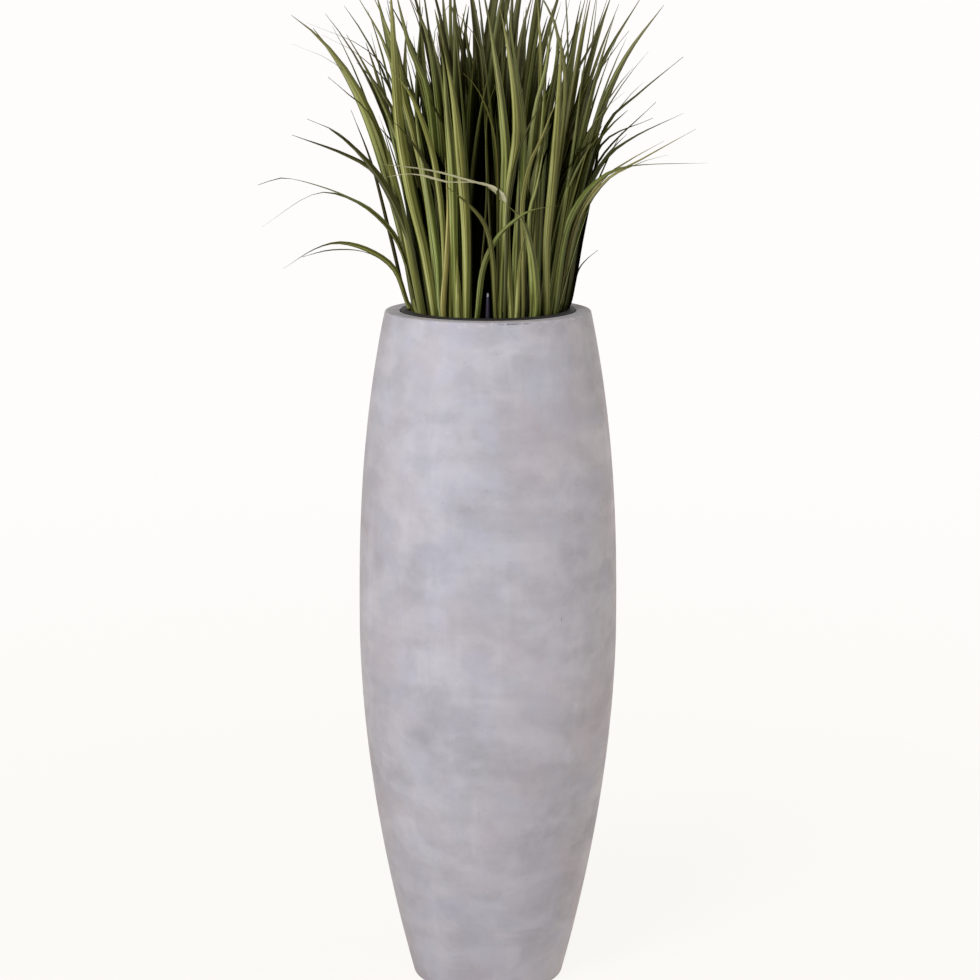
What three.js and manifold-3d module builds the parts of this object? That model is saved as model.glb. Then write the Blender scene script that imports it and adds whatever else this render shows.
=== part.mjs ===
// Tall barrel-shaped fiberglass planter: a hollow shell with an in-turned lip, a loose bottom
// panel with a bung, a plastic insert hung in the mouth, and a bush of artificial grass in it.
// Millimetres, +Z up. The origin is the centre of the face that the planter stands on.
import * as THREE from 'three';
import { mergeVertices } from 'three/addons/utils/BufferGeometryUtils.js';
import Module from 'manifold-3d';

const wasm = await Module();
wasm.setup();

// ---- clearances -------------------------------------------------------------------------
const SEAT_GAP = 0.3;            // between a piece and what it rests on
const INSERT_FLANGE_GAP = 0.8;   // dark line round the insert's flange
const INSERT_WALL_GAP = 1.5;     // between the insert's wall and the ledge collar
const FOAM_GAP = 0.8;            // between the foam and the insert's wall
const STEM_GAP = 0.3;            // round each stem in the foam
const BUNCH_GAP = 0.6;           // least distance between the blades of two bunches
const RIM_GAP = 2.5;             // between the outermost blades and the insert's inner edge
const CUT_PAST = 1;              // how far a cutter runs past the face it cuts

// ---- shell ------------------------------------------------------------------------------
const HEIGHT = 1000;
const BASE_RADIUS = 111.5;
const BELLY_RADIUS = 189;
const RIM_RADIUS = 148.4;
const BELLY_HEIGHT = 540;        // height of the widest place
const LOWER_BULGE = 1.84;        // power of the curve from the belly down to the base
const UPPER_BULGE = 2.4;         // power of the curve from the belly up to the rim
const SHELL_WALL = 6;
const RIM_ROUNDING = 3.5;        // outer edge of the lip
const MOUTH_ROUNDING = 1.2;      // inner edge of the lip
const BASE_ROUNDING = 3;
const LIP_WIDTH = 21.8;          // from the shell's outer edge in to the insert's flange
const LIP_THICKNESS = 9;
const LIP_FILLET = 30;           // height over which the laminate under the lip thins out
const LEDGE_DEPTH = 3;           // step in the lip that takes the insert's flange
const LEDGE_WIDTH = 8;
const COLLAR_DEPTH = 34;         // wall turned down inside the mouth, below the ledge
const COLLAR_WALL = 5;
const FOOT_THICKNESS = 6;        // floor return that the shell stands on
const FOOT_WIDTH = 26;

// ---- bottom panel and bung --------------------------------------------------------------
const PANEL_THICKNESS = 6;
const DRAIN_RADIUS = 12;
const BUNG_TAPER = 1.2;          // how much slimmer the bung's lower end is
const BUNG_HEAD_RADIUS = 17;
const BUNG_HEAD_THICKNESS = 4;
const BUNG_CHAMFER = 1;
const BUNG_NOSE = 3;             // how far the bung stands out under the panel

// ---- insert -----------------------------------------------------------------------------
const FLANGE_THICKNESS = 4.6;
const FLANGE_ROUNDING = 1.2;
const INSERT_DEPTH = 232;        // from the ledge down to the underside
const INSERT_TAPER = 23;         // how much slimmer the insert is at its floor
const INSERT_WALL = 2.6;
const INSERT_FLOOR = 3;

// ---- foam, bark and stake ---------------------------------------------------------------
const BARK_DROP = 36;            // from the rim down to the bark's top
const BARK_THICKNESS = 12;
const STAKE_RADIUS = 3.6;
const STAKE_TIP_RADIUS = 1.6;
const STAKE_SHOWS = 37;          // how far the stake stands above the rim
const STAKE_SINKS = 60;          // how far it goes into the foam

// ---- grass ------------------------------------------------------------------------------
const OUTER_BUNCHES = 8;
const INNER_BUNCHES = 4;
const INNER_RING_RADIUS = 29;
const OUTER_BLADES = 10;         // upright blades in a bunch of the outer ring
const INNER_BLADES = 9;
const BLADE_WIDTH = 13;
const BLADE_THICKNESS = 1.3;
const BLADE_FOLD = 2.6;          // depth of the V in a blade's section
const BLADE_ROOT_WIDTH = 0.6;    // share of its full width that a blade has at its root
const BLADE_WIDENS_BY = 0.2;     // share of its length at which it has its full width
const BLADE_TAPER = 3;           // power of the curve from full width to the tip
const TIP_WIDTH = 0.8;
const TIP_THICKNESS = 0.5;
const OUTER_LENGTH = 500;        // longest upright blade of an outer bunch
const INNER_LENGTH = 572;        // longest blade of an inner bunch
const LENGTH_SPREAD = 0.22;      // how much shorter the shortest blade is
const DIVIDE_LEAN = 9;           // lean in degrees that parts the inner ring from the outer
const OUTER_LEAN = 15;           // largest lean at the root
const INNER_LEAN = 1;            // least lean at the root
const OUTER_BEND = 20;           // how much further an upright blade leans at its tip
const INNER_BEND = 3;
const REACH_LENGTH = 352;        // arching blades that set the bush's reach
const REACH_BEND = 84;
const DROOP_LENGTH = 280;        // shorter arching blades
const DROOP_BEND = 112;
const STEM_RADIUS = 4.5;
const STEM_SINKS = 74;           // how far a stem goes into the foam
const STEM_POINT = 8;
const CROWN_HEIGHT = 17;         // crown that a bunch's blades grow from
const ROOT_SINKS = 10;           // how far the blades' roots lie below the crown's top
const FREE_RISE = 3;             // how far above the insert's flange the blades begin to bend
const LEAST_BEND = 0.45;         // share of the bend that the innermost blades have
const UPRIGHT_STIFFNESS = 1.5;   // power of the bend along a blade
const ARCH_STIFFNESS = 1;
const WIDTH_SPREAD = 0.25;
const ARCH_WIDTH = 0.6;          // share of the full width that arching blades have
const LEAN_SPREAD = 0.15;
const TURN_SPREAD = 14;          // degrees, from the root's azimuth to the tip's
const TWIST_SPREAD = 17;         // degrees, about the mid-rib
const SEED = 4711;

// ---- facets -----------------------------------------------------------------------------
const ROUND_SIDES = 48;
const SMALL_SIDES = 16;
const STEM_SIDES = 8;
const OUTSIDE_STEPS = 16;
const INSIDE_STEPS = 7;
const CORNER_STEPS = 2;
const UPRIGHT_STEPS = 5;
const ARCH_STEPS = 7;
const RIB_SUBSTEPS = 8;          // steps of the mid-rib's sum in each step of the blade

// ---- sizes that follow ------------------------------------------------------------------
const mouthRadius = RIM_RADIUS - LIP_WIDTH;
const flangeRadius = mouthRadius - INSERT_FLANGE_GAP;
const collarRadius = mouthRadius - LEDGE_WIDTH;
const ledgeHeight = HEIGHT - LEDGE_DEPTH;
const collarEnd = ledgeHeight - COLLAR_DEPTH;
const lipUnderside = HEIGHT - LIP_THICKNESS;
const panelUnderside = FOOT_THICKNESS + SEAT_GAP;
const panelTop = panelUnderside + PANEL_THICKNESS;
const flangeUnderside = ledgeHeight + SEAT_GAP;
const flangeTop = flangeUnderside + FLANGE_THICKNESS;
const insertTopRadius = collarRadius - INSERT_WALL_GAP;
const insertFloorRadius = insertTopRadius - INSERT_TAPER;
const insertUnderside = ledgeHeight - INSERT_DEPTH;
const insertInnerFloor = insertUnderside + INSERT_FLOOR;
const barkTop = HEIGHT - BARK_DROP;
const foamTop = barkTop - BARK_THICKNESS - SEAT_GAP;
const foamUnderside = insertInnerFloor + SEAT_GAP;
const crownUnderside = barkTop + SEAT_GAP;
const crownTop = crownUnderside + CROWN_HEIGHT;
const rootHeight = crownTop - ROOT_SINKS;
const straightRun = flangeTop + FREE_RISE - rootHeight;
const stakeTop = HEIGHT + STAKE_SHOWS;
const stakeFoot = foamTop - STAKE_SINKS;
const stemFoot = foamTop - STEM_SINKS;

const degrees = Math.PI / 180;
const goldenAngle = Math.PI * (3 - Math.sqrt(5));

// Outer radius of the shell at height z: two power curves that meet at the belly.
function barrelRadius(z) {
  if (z < BELLY_HEIGHT) {
    const down = (BELLY_HEIGHT - z) / BELLY_HEIGHT;
    return BELLY_RADIUS - (BELLY_RADIUS - BASE_RADIUS) * down ** LOWER_BULGE;
  }
  const up = (z - BELLY_HEIGHT) / (HEIGHT - BELLY_HEIGHT);
  return BELLY_RADIUS - (BELLY_RADIUS - RIM_RADIUS) * up ** UPPER_BULGE;
}

// Inner radius of the insert at height z.
function insertBore(z) {
  const share = (z - insertUnderside) / INSERT_DEPTH;
  return THREE.MathUtils.lerp(insertFloorRadius, insertTopRadius, share) - INSERT_WALL;
}

// ---- making and joining solids ----------------------------------------------------------
function solidOf(geometry) {
  const bare = geometry.clone();
  bare.deleteAttribute('normal');
  bare.deleteAttribute('uv');
  const merged = mergeVertices(bare, 1e-4);
  return new wasm.Manifold(new wasm.Mesh({
    numProp: 3,
    vertProperties: new Float32Array(merged.attributes.position.array),
    triVerts: new Uint32Array(merged.index.array),
  }));
}

function geometryOf(solid) {
  const mesh = solid.getMesh();
  const geometry = new THREE.BufferGeometry();
  geometry.setAttribute('position', new THREE.BufferAttribute(mesh.vertProperties, 3));
  geometry.setIndex(new THREE.BufferAttribute(mesh.triVerts, 1));
  geometry.computeVertexNormals();
  return geometry;
}

function joined(geometries) {
  return geometryOf(geometries.map(solidOf).reduce((whole, next) => whole.add(next)));
}

function bored(geometry, holes) {
  return geometryOf(holes.map(solidOf).reduce((rest, hole) => rest.subtract(hole), solidOf(geometry)));
}

// A profile of [radius, height] pairs turned round the Z axis. The profile runs up the outside
// first, and starts and ends on the axis or closes on itself.
function turned(profile, sides = ROUND_SIDES) {
  const points = profile.map(([radius, height]) => new THREE.Vector2(radius, height));
  return new THREE.LatheGeometry(points, sides).rotateX(Math.PI / 2);
}

// A round corner of a profile, from one angle to another in degrees.
function corner(radius, height, rounding, from, to) {
  return Array.from({ length: CORNER_STEPS + 1 }, (_, i) => {
    const angle = THREE.MathUtils.lerp(from, to, i / CORNER_STEPS) * degrees;
    return [radius + rounding * Math.cos(angle), height + rounding * Math.sin(angle)];
  });
}

// Points of the barrel's curve, moved inwards by inset, from one height to another.
function wallCurve(inset, from, to, steps) {
  return Array.from({ length: steps + 1 }, (_, i) => {
    const height = THREE.MathUtils.lerp(from, to, i / steps);
    return [barrelRadius(height) - inset, height];
  });
}

function upright(radius, from, to, sides) {
  return new THREE.CylinderGeometry(radius, radius, to - from, sides)
    .rotateX(Math.PI / 2)
    .translate(0, 0, (from + to) / 2);
}

// ---- shell ------------------------------------------------------------------------------
function shell() {
  const curveStart = BASE_ROUNDING;
  const curveEnd = HEIGHT - RIM_ROUNDING;
  const profile = [
    [barrelRadius(0) - FOOT_WIDTH, 0],
    ...corner(barrelRadius(curveStart) - BASE_ROUNDING, curveStart, BASE_ROUNDING, -90, -10),
    ...wallCurve(0, curveStart * 2, curveEnd - RIM_ROUNDING, OUTSIDE_STEPS),
    ...corner(barrelRadius(curveEnd) - RIM_ROUNDING, curveEnd, RIM_ROUNDING, 10, 90),
    ...corner(mouthRadius + MOUTH_ROUNDING, HEIGHT - MOUTH_ROUNDING, MOUTH_ROUNDING, 90, 180),
    [mouthRadius, ledgeHeight],
    [collarRadius, ledgeHeight],
    [collarRadius, collarEnd],
    [collarRadius + COLLAR_WALL, collarEnd],
    [collarRadius + COLLAR_WALL, lipUnderside],
    [barrelRadius(lipUnderside) - SHELL_WALL - COLLAR_WALL, lipUnderside],
    ...wallCurve(SHELL_WALL, lipUnderside - LIP_FILLET, FOOT_THICKNESS, INSIDE_STEPS),
    [barrelRadius(0) - FOOT_WIDTH, FOOT_THICKNESS],
    [barrelRadius(0) - FOOT_WIDTH, 0],
  ];
  return turned(profile);
}

// ---- bottom panel and bung --------------------------------------------------------------
function bottomPanel() {
  const radius = barrelRadius(panelUnderside) - SHELL_WALL - SEAT_GAP;
  return bored(
    upright(radius, panelUnderside, panelTop, ROUND_SIDES),
    [upright(DRAIN_RADIUS, panelUnderside - CUT_PAST, panelTop + CUT_PAST, SMALL_SIDES)],
  );
}

function bung() {
  const neck = DRAIN_RADIUS - SEAT_GAP;
  const headUnderside = panelTop + SEAT_GAP;
  const headTop = headUnderside + BUNG_HEAD_THICKNESS;
  return turned([
    [0, panelUnderside - BUNG_NOSE],
    [neck - BUNG_TAPER, panelUnderside - BUNG_NOSE],
    [neck, headUnderside],
    [BUNG_HEAD_RADIUS, headUnderside],
    [BUNG_HEAD_RADIUS, headTop - BUNG_CHAMFER],
    [BUNG_HEAD_RADIUS - BUNG_CHAMFER, headTop],
    [0, headTop],
  ], SMALL_SIDES);
}

// ---- insert -----------------------------------------------------------------------------
function insertPot() {
  const bore = insertBore(flangeUnderside);
  return turned([
    [0, insertUnderside],
    ...corner(insertFloorRadius - INSERT_FLOOR, insertInnerFloor, INSERT_FLOOR, -90, 0),
    [insertTopRadius, flangeUnderside],
    [flangeRadius, flangeUnderside],
    ...corner(flangeRadius - FLANGE_ROUNDING, flangeTop - FLANGE_ROUNDING, FLANGE_ROUNDING, 0, 90),
    ...corner(bore + FLANGE_ROUNDING, flangeTop - FLANGE_ROUNDING, FLANGE_ROUNDING, 90, 180),
    [insertBore(insertInnerFloor), insertInnerFloor],
    [0, insertInnerFloor],
  ]);
}

// ---- where the bunches stand ------------------------------------------------------------
// Each ring is parted into equal sectors, and each bunch keeps to its own sector. A cone that
// starts at dividingRadius and leans by DIVIDE_LEAN parts the inner ring from the outer. The
// stake stands between two bunches of the outer ring, which leave room for it.
const halfGap = BUNCH_GAP / 2;
const stakeRoom = STAKE_RADIUS + BUNCH_GAP;
const rootLimit = insertBore(flangeTop) - RIM_GAP
  - BLADE_FOLD - straightRun * Math.tan(OUTER_LEAN * degrees);
const innerCrown = INNER_RING_RADIUS * Math.sin(Math.PI / INNER_BUNCHES) - halfGap;
const dividingRadius = INNER_RING_RADIUS + innerCrown + halfGap;
const outerRingRadius = (rootLimit + BLADE_WIDTH / 2 + dividingRadius + halfGap) / 2;
const outerCrown = Math.min(
  outerRingRadius * Math.sin(Math.PI / OUTER_BUNCHES) - stakeRoom,
  outerRingRadius - dividingRadius - halfGap,
);
const stakePlace = outerRingRadius * Math.cos(Math.PI / OUTER_BUNCHES);

const rings = [
  {
    name: 'outer_grass_bunch',
    count: OUTER_BUNCHES,
    radius: outerRingRadius,
    crown: outerCrown,
    turn: -90 + 180 / OUTER_BUNCHES,
    blades: OUTER_BLADES,
    length: OUTER_LENGTH,
    lean: [DIVIDE_LEAN, OUTER_LEAN],
    bend: [OUTER_BEND * LEAST_BEND, OUTER_BEND],
    arches: true,
  },
  {
    name: 'inner_grass_bunch',
    count: INNER_BUNCHES,
    radius: INNER_RING_RADIUS,
    crown: innerCrown,
    turn: -90,
    blades: INNER_BLADES,
    length: INNER_LENGTH,
    lean: [INNER_LEAN, DIVIDE_LEAN - INNER_BEND],
    bend: [INNER_BEND * LEAST_BEND, INNER_BEND],
    arches: false,
  },
];

function bunchPlace(ring, index) {
  const azimuth = (ring.turn + index * 360 / ring.count) * degrees;
  return { azimuth, x: ring.radius * Math.cos(azimuth), y: ring.radius * Math.sin(azimuth) };
}

const bunchPlaces = rings.flatMap((ring) => (
  Array.from({ length: ring.count }, (_, index) => bunchPlace(ring, index))
));

// ---- foam, bark and stake ---------------------------------------------------------------
function stemHoles(from, to) {
  const hole = upright(STEM_RADIUS + STEM_GAP, from, to + CUT_PAST, STEM_SIDES);
  const stakeHole = upright(STAKE_RADIUS + STEM_GAP, from, to + CUT_PAST, STEM_SIDES);
  return [
    ...bunchPlaces.map(({ x, y }) => hole.clone().translate(x, y, 0)),
    stakeHole.translate(0, -stakePlace, 0),
  ];
}

function foamBlock() {
  const holesFrom = Math.min(stemFoot, stakeFoot) - SEAT_GAP;
  const body = turned([
    [0, foamUnderside],
    [insertBore(foamUnderside) - FOAM_GAP, foamUnderside],
    [insertBore(foamTop) - FOAM_GAP, foamTop],
    [0, foamTop],
  ]);
  return bored(body, stemHoles(holesFrom, foamTop));
}

function barkLayer() {
  const underside = foamTop + SEAT_GAP;
  const body = turned([
    [0, underside],
    [insertBore(underside) - FOAM_GAP, underside],
    [insertBore(barkTop) - FOAM_GAP, barkTop],
    [0, barkTop],
  ]);
  return bored(body, stemHoles(underside - CUT_PAST, barkTop));
}

function stake() {
  return turned([
    [0, stakeFoot],
    [STAKE_RADIUS, stakeFoot + STEM_POINT],
    [STAKE_RADIUS, HEIGHT],
    [STAKE_TIP_RADIUS, stakeTop - STAKE_TIP_RADIUS],
    [0, stakeTop],
  ], STEM_SIDES).translate(0, -stakePlace, 0);
}

// ---- grass ------------------------------------------------------------------------------
let seed = SEED;
function random(low, high) {
  seed = (seed * 16807) % 2147483647;
  return low + (high - low) * seed / 2147483647;
}

// Mid-rib of a blade: it rises straight at its lean until it is clear of the rim, then leans
// further, while its azimuth goes from that of its root to that of its tip.
function midRib(blade, steps) {
  const points = [];
  let radius = blade.radius;
  let height = rootHeight;
  const fineSteps = steps * RIB_SUBSTEPS;
  const straightShare = straightRun / blade.length;
  for (let i = 0; i <= fineSteps; i += 1) {
    const share = i / fineSteps;
    if (i % RIB_SUBSTEPS === 0) {
      const azimuth = THREE.MathUtils.lerp(blade.azimuth, blade.tipAzimuth, share);
      points.push(new THREE.Vector3(radius * Math.cos(azimuth), radius * Math.sin(azimuth), height));
    }
    const free = Math.max(0, (share - straightShare) / (1 - straightShare));
    const lean = (blade.lean + blade.bend * free ** blade.stiffness) * degrees;
    radius += Math.sin(lean) * blade.length / fineSteps;
    height += Math.cos(lean) * blade.length / fineSteps;
  }
  return points;
}

function bladeWidth(blade, share) {
  const widening = THREE.MathUtils.lerp(BLADE_ROOT_WIDTH, 1, Math.min(1, share / BLADE_WIDENS_BY));
  return Math.max(TIP_WIDTH, blade.width * widening * (1 - share ** BLADE_TAPER));
}

// A blade is a V in section: two edges, a keel on its outer side and a groove on its inner.
function bladeGeometry(blade, steps) {
  const points = midRib(blade, steps);
  const corners = [];
  points.forEach((point, i) => {
    const share = i / steps;
    const before = points[Math.max(0, i - 1)];
    const after = points[Math.min(steps, i + 1)];
    const along = after.clone().sub(before).normalize();
    const round = Math.atan2(point.y, point.x);
    const across = new THREE.Vector3(-Math.sin(round), Math.cos(round), 0);
    across.addScaledVector(along, -across.dot(along)).normalize();
    const inward = along.clone().cross(across);
    across.applyAxisAngle(along, blade.twist);
    inward.applyAxisAngle(along, blade.twist);
    const width = bladeWidth(blade, share);
    const fold = BLADE_FOLD * width / BLADE_WIDTH;
    const thick = Math.max(TIP_THICKNESS, BLADE_THICKNESS * width / BLADE_WIDTH);
    const section = [
      [-width / 2, fold / 2],
      [0, -fold / 2 - thick / 2],
      [width / 2, fold / 2],
      [0, -fold / 2 + thick / 2],
    ];
    section.forEach(([side, up]) => {
      corners.push(point.clone().addScaledVector(across, side).addScaledVector(inward, up));
    });
  });
  const triangles = [0, 2, 1, 0, 3, 2];
  for (let i = 0; i < steps; i += 1) {
    for (let k = 0; k < 4; k += 1) {
      const a = i * 4 + k;
      const b = i * 4 + (k + 1) % 4;
      triangles.push(a, b, b + 4, a, b + 4, a + 4);
    }
  }
  const end = steps * 4;
  triangles.push(end, end + 1, end + 2, end, end + 2, end + 3);
  const geometry = new THREE.BufferGeometry().setFromPoints(corners);
  geometry.setIndex(triangles);
  return geometry;
}

// The largest turn from a sector's middle at which a blade of that radius keeps to the sector.
function sectorLimit(ring, radius) {
  const room = BLADE_WIDTH / 2 + halfGap;
  return Math.PI / ring.count - Math.asin(Math.min(0.9, room / radius));
}

function keptInSector(ring, middle, turn, radius) {
  const limit = Math.max(0, sectorLimit(ring, radius));
  return middle + THREE.MathUtils.clamp(turn, -limit, limit);
}

function uprightBlade(ring, place, index) {
  const rootSpread = ring.crown - BLADE_WIDTH / 2;
  const spread = rootSpread * Math.sqrt((index + 0.5) / ring.blades);
  const turn = index * goldenAngle;
  const x = ring.radius + spread * Math.cos(turn);
  const y = spread * Math.sin(turn);
  const radius = Math.hypot(x, y);
  const outward = (radius - ring.radius + rootSpread) / (2 * rootSpread);
  const share = THREE.MathUtils.clamp(outward + random(-LEAN_SPREAD, LEAN_SPREAD), 0, 1);
  const rootTurn = Math.atan2(y, x);
  const tipTurn = rootTurn + random(-TURN_SPREAD, TURN_SPREAD) * degrees;
  return {
    radius,
    azimuth: place.azimuth + rootTurn,
    tipAzimuth: keptInSector(ring, place.azimuth, tipTurn, radius),
    lean: THREE.MathUtils.lerp(...ring.lean, share),
    bend: THREE.MathUtils.lerp(...ring.bend, share),
    stiffness: UPRIGHT_STIFFNESS,
    length: ring.length * (1 - random(0, LENGTH_SPREAD)),
    width: BLADE_WIDTH * (1 - random(0, WIDTH_SPREAD)),
    twist: random(-TWIST_SPREAD, TWIST_SPREAD) * degrees,
  };
}

// Arching blades root in the middle of their crown and lie over near a sector's edge.
function archBlade(ring, place, side, length, bend) {
  return {
    radius: ring.radius,
    azimuth: place.azimuth,
    tipAzimuth: place.azimuth + side * sectorLimit(ring, ring.radius),
    lean: OUTER_LEAN,
    bend,
    stiffness: ARCH_STIFFNESS,
    length,
    width: BLADE_WIDTH * ARCH_WIDTH,
    twist: 0,
  };
}

function grassBunch(ring, index) {
  const place = bunchPlaces[(ring === rings[0] ? 0 : OUTER_BUNCHES) + index];
  const stem = turned([
    [0, stemFoot],
    [STEM_RADIUS, stemFoot + STEM_POINT],
    [STEM_RADIUS, rootHeight],
    [0, rootHeight],
  ], STEM_SIDES).translate(place.x, place.y, 0);
  const crown = upright(ring.crown, crownUnderside, crownTop, SMALL_SIDES)
    .translate(place.x, place.y, 0);
  const blades = Array.from({ length: ring.blades }, (_, i) => (
    bladeGeometry(uprightBlade(ring, place, i), UPRIGHT_STEPS)
  ));
  if (ring.arches) {
    const reach = archBlade(ring, place, -1, REACH_LENGTH, REACH_BEND);
    const droop = archBlade(ring, place, 1, DROOP_LENGTH, DROOP_BEND);
    blades.push(bladeGeometry(reach, ARCH_STEPS), bladeGeometry(droop, ARCH_STEPS));
  }
  return joined([stem, crown, ...blades]);
}

// ---- materials and assembly -------------------------------------------------------------
const finishes = {
  stoneGrey: { color: 0xb9b6be, roughness: 0.75, metalness: 0 },
  rawFiberglass: { color: 0x8f8f8a, roughness: 0.8, metalness: 0 },
  blackRubber: { color: 0x1c1c1e, roughness: 0.85, metalness: 0 },
  darkPlastic: { color: 0x3b3b3d, roughness: 0.55, metalness: 0 },
  greenFoam: { color: 0x2f4a33, roughness: 0.95, metalness: 0 },
  darkBark: { color: 0x2e2118, roughness: 0.95, metalness: 0 },
  plumStake: { color: 0x3a3144, roughness: 0.6, metalness: 0 },
  grassGreen: { color: 0x7f8d3e, roughness: 0.6, metalness: 0 },
  deepGreen: { color: 0x57652c, roughness: 0.6, metalness: 0 },
};

const planter = new THREE.Group();

function addPart(name, geometry, finish) {
  const mesh = new THREE.Mesh(geometry, new THREE.MeshStandardMaterial(finish));
  mesh.name = name;
  planter.add(mesh);
}

addPart('planter_shell', shell(), finishes.stoneGrey);
addPart('bottom_panel', bottomPanel(), finishes.rawFiberglass);
addPart('drain_bung', bung(), finishes.blackRubber);
addPart('insert_pot', insertPot(), finishes.darkPlastic);
addPart('foam_block', foamBlock(), finishes.greenFoam);
addPart('bark_layer', barkLayer(), finishes.darkBark);
addPart('anchor_stake', stake(), finishes.plumStake);
rings.forEach((ring) => {
  const finish = ring.arches ? finishes.grassGreen : finishes.deepGreen;
  for (let index = 0; index < ring.count; index += 1) {
    addPart(`${ring.name}_${index + 1}`, grassBunch(ring, index), finish);
  }
});

export default planter;
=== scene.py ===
"""Looks of the tall barrel planter, its insert and its artificial grass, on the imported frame."""
import math
import random
from typing import NamedTuple

import bpy
from bpy.props import FloatProperty, FloatVectorProperty, IntProperty, PointerProperty
from bpy.types import Operator, Panel, PropertyGroup
from mathutils import Matrix, Vector


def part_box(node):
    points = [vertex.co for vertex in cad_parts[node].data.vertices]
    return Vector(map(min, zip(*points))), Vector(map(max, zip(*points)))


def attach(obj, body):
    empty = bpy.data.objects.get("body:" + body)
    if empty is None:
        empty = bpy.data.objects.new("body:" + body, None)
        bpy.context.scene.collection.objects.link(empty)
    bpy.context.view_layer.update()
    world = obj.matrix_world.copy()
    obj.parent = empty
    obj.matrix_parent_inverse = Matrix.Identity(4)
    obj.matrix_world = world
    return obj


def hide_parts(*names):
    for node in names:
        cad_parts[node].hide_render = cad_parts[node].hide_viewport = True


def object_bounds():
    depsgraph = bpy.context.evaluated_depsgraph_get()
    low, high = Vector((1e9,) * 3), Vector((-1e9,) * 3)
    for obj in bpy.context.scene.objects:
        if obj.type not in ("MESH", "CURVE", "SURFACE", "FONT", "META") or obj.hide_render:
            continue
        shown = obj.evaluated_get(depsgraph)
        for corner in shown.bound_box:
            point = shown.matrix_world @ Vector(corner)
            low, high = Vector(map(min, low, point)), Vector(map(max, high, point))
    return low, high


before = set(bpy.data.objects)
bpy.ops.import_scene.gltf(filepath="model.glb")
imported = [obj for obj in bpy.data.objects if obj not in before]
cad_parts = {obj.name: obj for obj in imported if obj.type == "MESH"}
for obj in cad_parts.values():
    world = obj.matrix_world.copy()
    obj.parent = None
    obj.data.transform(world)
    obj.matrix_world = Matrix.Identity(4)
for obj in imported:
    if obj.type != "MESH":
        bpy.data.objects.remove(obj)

bl_info = {
    "name": "Tall Barrel Planter",
    "version": (1, 0, 0),
    "blender": (4, 5, 0),
    "location": "3D View > Sidebar > Planter",
    "description": "Builds a tall fiberglass planter with an insert and artificial grass",
    "category": "Object",
}

cad_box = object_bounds()
shell_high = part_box("planter_shell")[1]
insert_low, insert_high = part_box("insert_pot")
foam_low, foam_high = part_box("foam_block")
bark_low, bark_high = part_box("bark_layer")
panel_low, panel_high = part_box("bottom_panel")
stake_low, stake_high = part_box("anchor_stake")

PHOTO_SIZE = 980
SENSOR_WIDTH = 36.0
CAMERA_LENS = 92.36
PHOTO_FOCUS = PHOTO_SIZE * CAMERA_LENS / SENSOR_WIDTH
CAMERA_PITCH = math.radians(11.14)
CAMERA_PLACE = Vector((0.003, -3.6, 1.4442))
STAKE_TOP = stake_high.z - 0.005
# Where the dark line under the lip is painted: scuffing, and a painted shadow of the lip's edge.
LIP_SHADOW_SCUFF_HEIGHTS = (0.9964, 0.9984)
LIP_SHADOW_SCUFF_SPAN = (0.012, 0.062)


def linear(value):
    """Linear value of one 8-bit sRGB channel."""
    value /= 255
    return value / 12.92 if value <= 0.04045 else ((value + 0.055) / 1.055) ** 2.4


def srgb(red, green, blue):
    return (linear(red), linear(green), linear(blue))


# ---- sizes and colours that a user would change ------------------------------------------


def length_property(name, description, default):
    return FloatProperty(name=name, description=description, default=default, unit="LENGTH")


def colour_property(name, description, default):
    return FloatVectorProperty(
        name=name, description=description, subtype="COLOR", size=3, min=0, max=1,
        default=default)


class PlanterShellSettings(PropertyGroup):
    height: length_property("Height", "From the floor to the lip", shell_high.z)
    base_radius: length_property(
        "Base radius", "Radius of the outer edge that the shell stands on", 0.1115)
    belly_radius: length_property("Belly radius", "Radius at the widest place", shell_high.x)
    rim_radius: length_property("Rim radius", "Outer radius of the lip", 0.1484)
    belly_height: length_property("Belly height", "Height of the widest place", 0.54)
    wall: length_property("Wall", "Thickness of the laminate", 0.006)
    lip_width: length_property("Lip width", "From the outer edge in to the insert", 0.0218)
    waviness: length_property(
        "Waviness", "How far the hand-finished wall departs from true", 0.0004)
    light_stone: colour_property(
        "Light stone", "Lighter colour of the clouded finish", srgb(203, 201, 210))
    dark_stone: colour_property(
        "Dark stone", "Darker colour of the clouded finish", srgb(167, 165, 174))


class PlanterInsertSettings(PropertyGroup):
    taper: length_property("Taper", "How much slimmer the insert is at its floor", 0.023)
    wall: length_property("Wall", "Thickness of the plastic", 0.0026)
    plastic: colour_property("Plastic", "Colour of the moulded plastic", srgb(36, 35, 33))


class PlanterGrassSettings(PropertyGroup):
    outer_blades: IntProperty(
        name="Outer blades", description="Upright blades in each outer bunch", default=30,
        min=4, max=80)
    inner_blades: IntProperty(
        name="Inner blades", description="Blades in each inner bunch", default=22, min=4,
        max=80)
    blade_width: length_property("Blade width", "Width of the widest blades", 0.0165)
    outer_length: length_property("Outer length", "Length of the longest outer blades", 0.51)
    inner_length: length_property("Inner length", "Length of the longest inner blades", 0.565)
    seed: IntProperty(name="Seed", description="Changes the lie of the blades", default=29)


class PlanterStageSettings(PropertyGroup):
    key_power: FloatProperty(
        name="Key power", description="Power of the large soft light at the left, in watts",
        default=80.0, min=0)
    fill_power: FloatProperty(
        name="Fill power", description="Power of the soft light at the right, in watts",
        default=17.0, min=0)
    ambient: FloatProperty(
        name="Ambient", description="Strength of the light from all around", default=0.37,
        min=0)


# ---- node trees ---------------------------------------------------------------------------


def add_node(tree, kind, inputs=None, **settings):
    """Adds a node. Inputs are values or sockets to link, settings are the node's own."""
    node = tree.nodes.new(kind)
    count = len(tree.nodes)
    node.location = (190 * (count % 10), -240 * (count // 10))
    for key, value in settings.items():
        setattr(node, key, value)
    for key, value in (inputs or {}).items():
        if isinstance(value, bpy.types.NodeSocket):
            tree.links.new(value, node.inputs[key])
        else:
            node.inputs[key].default_value = value
    return node


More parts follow.
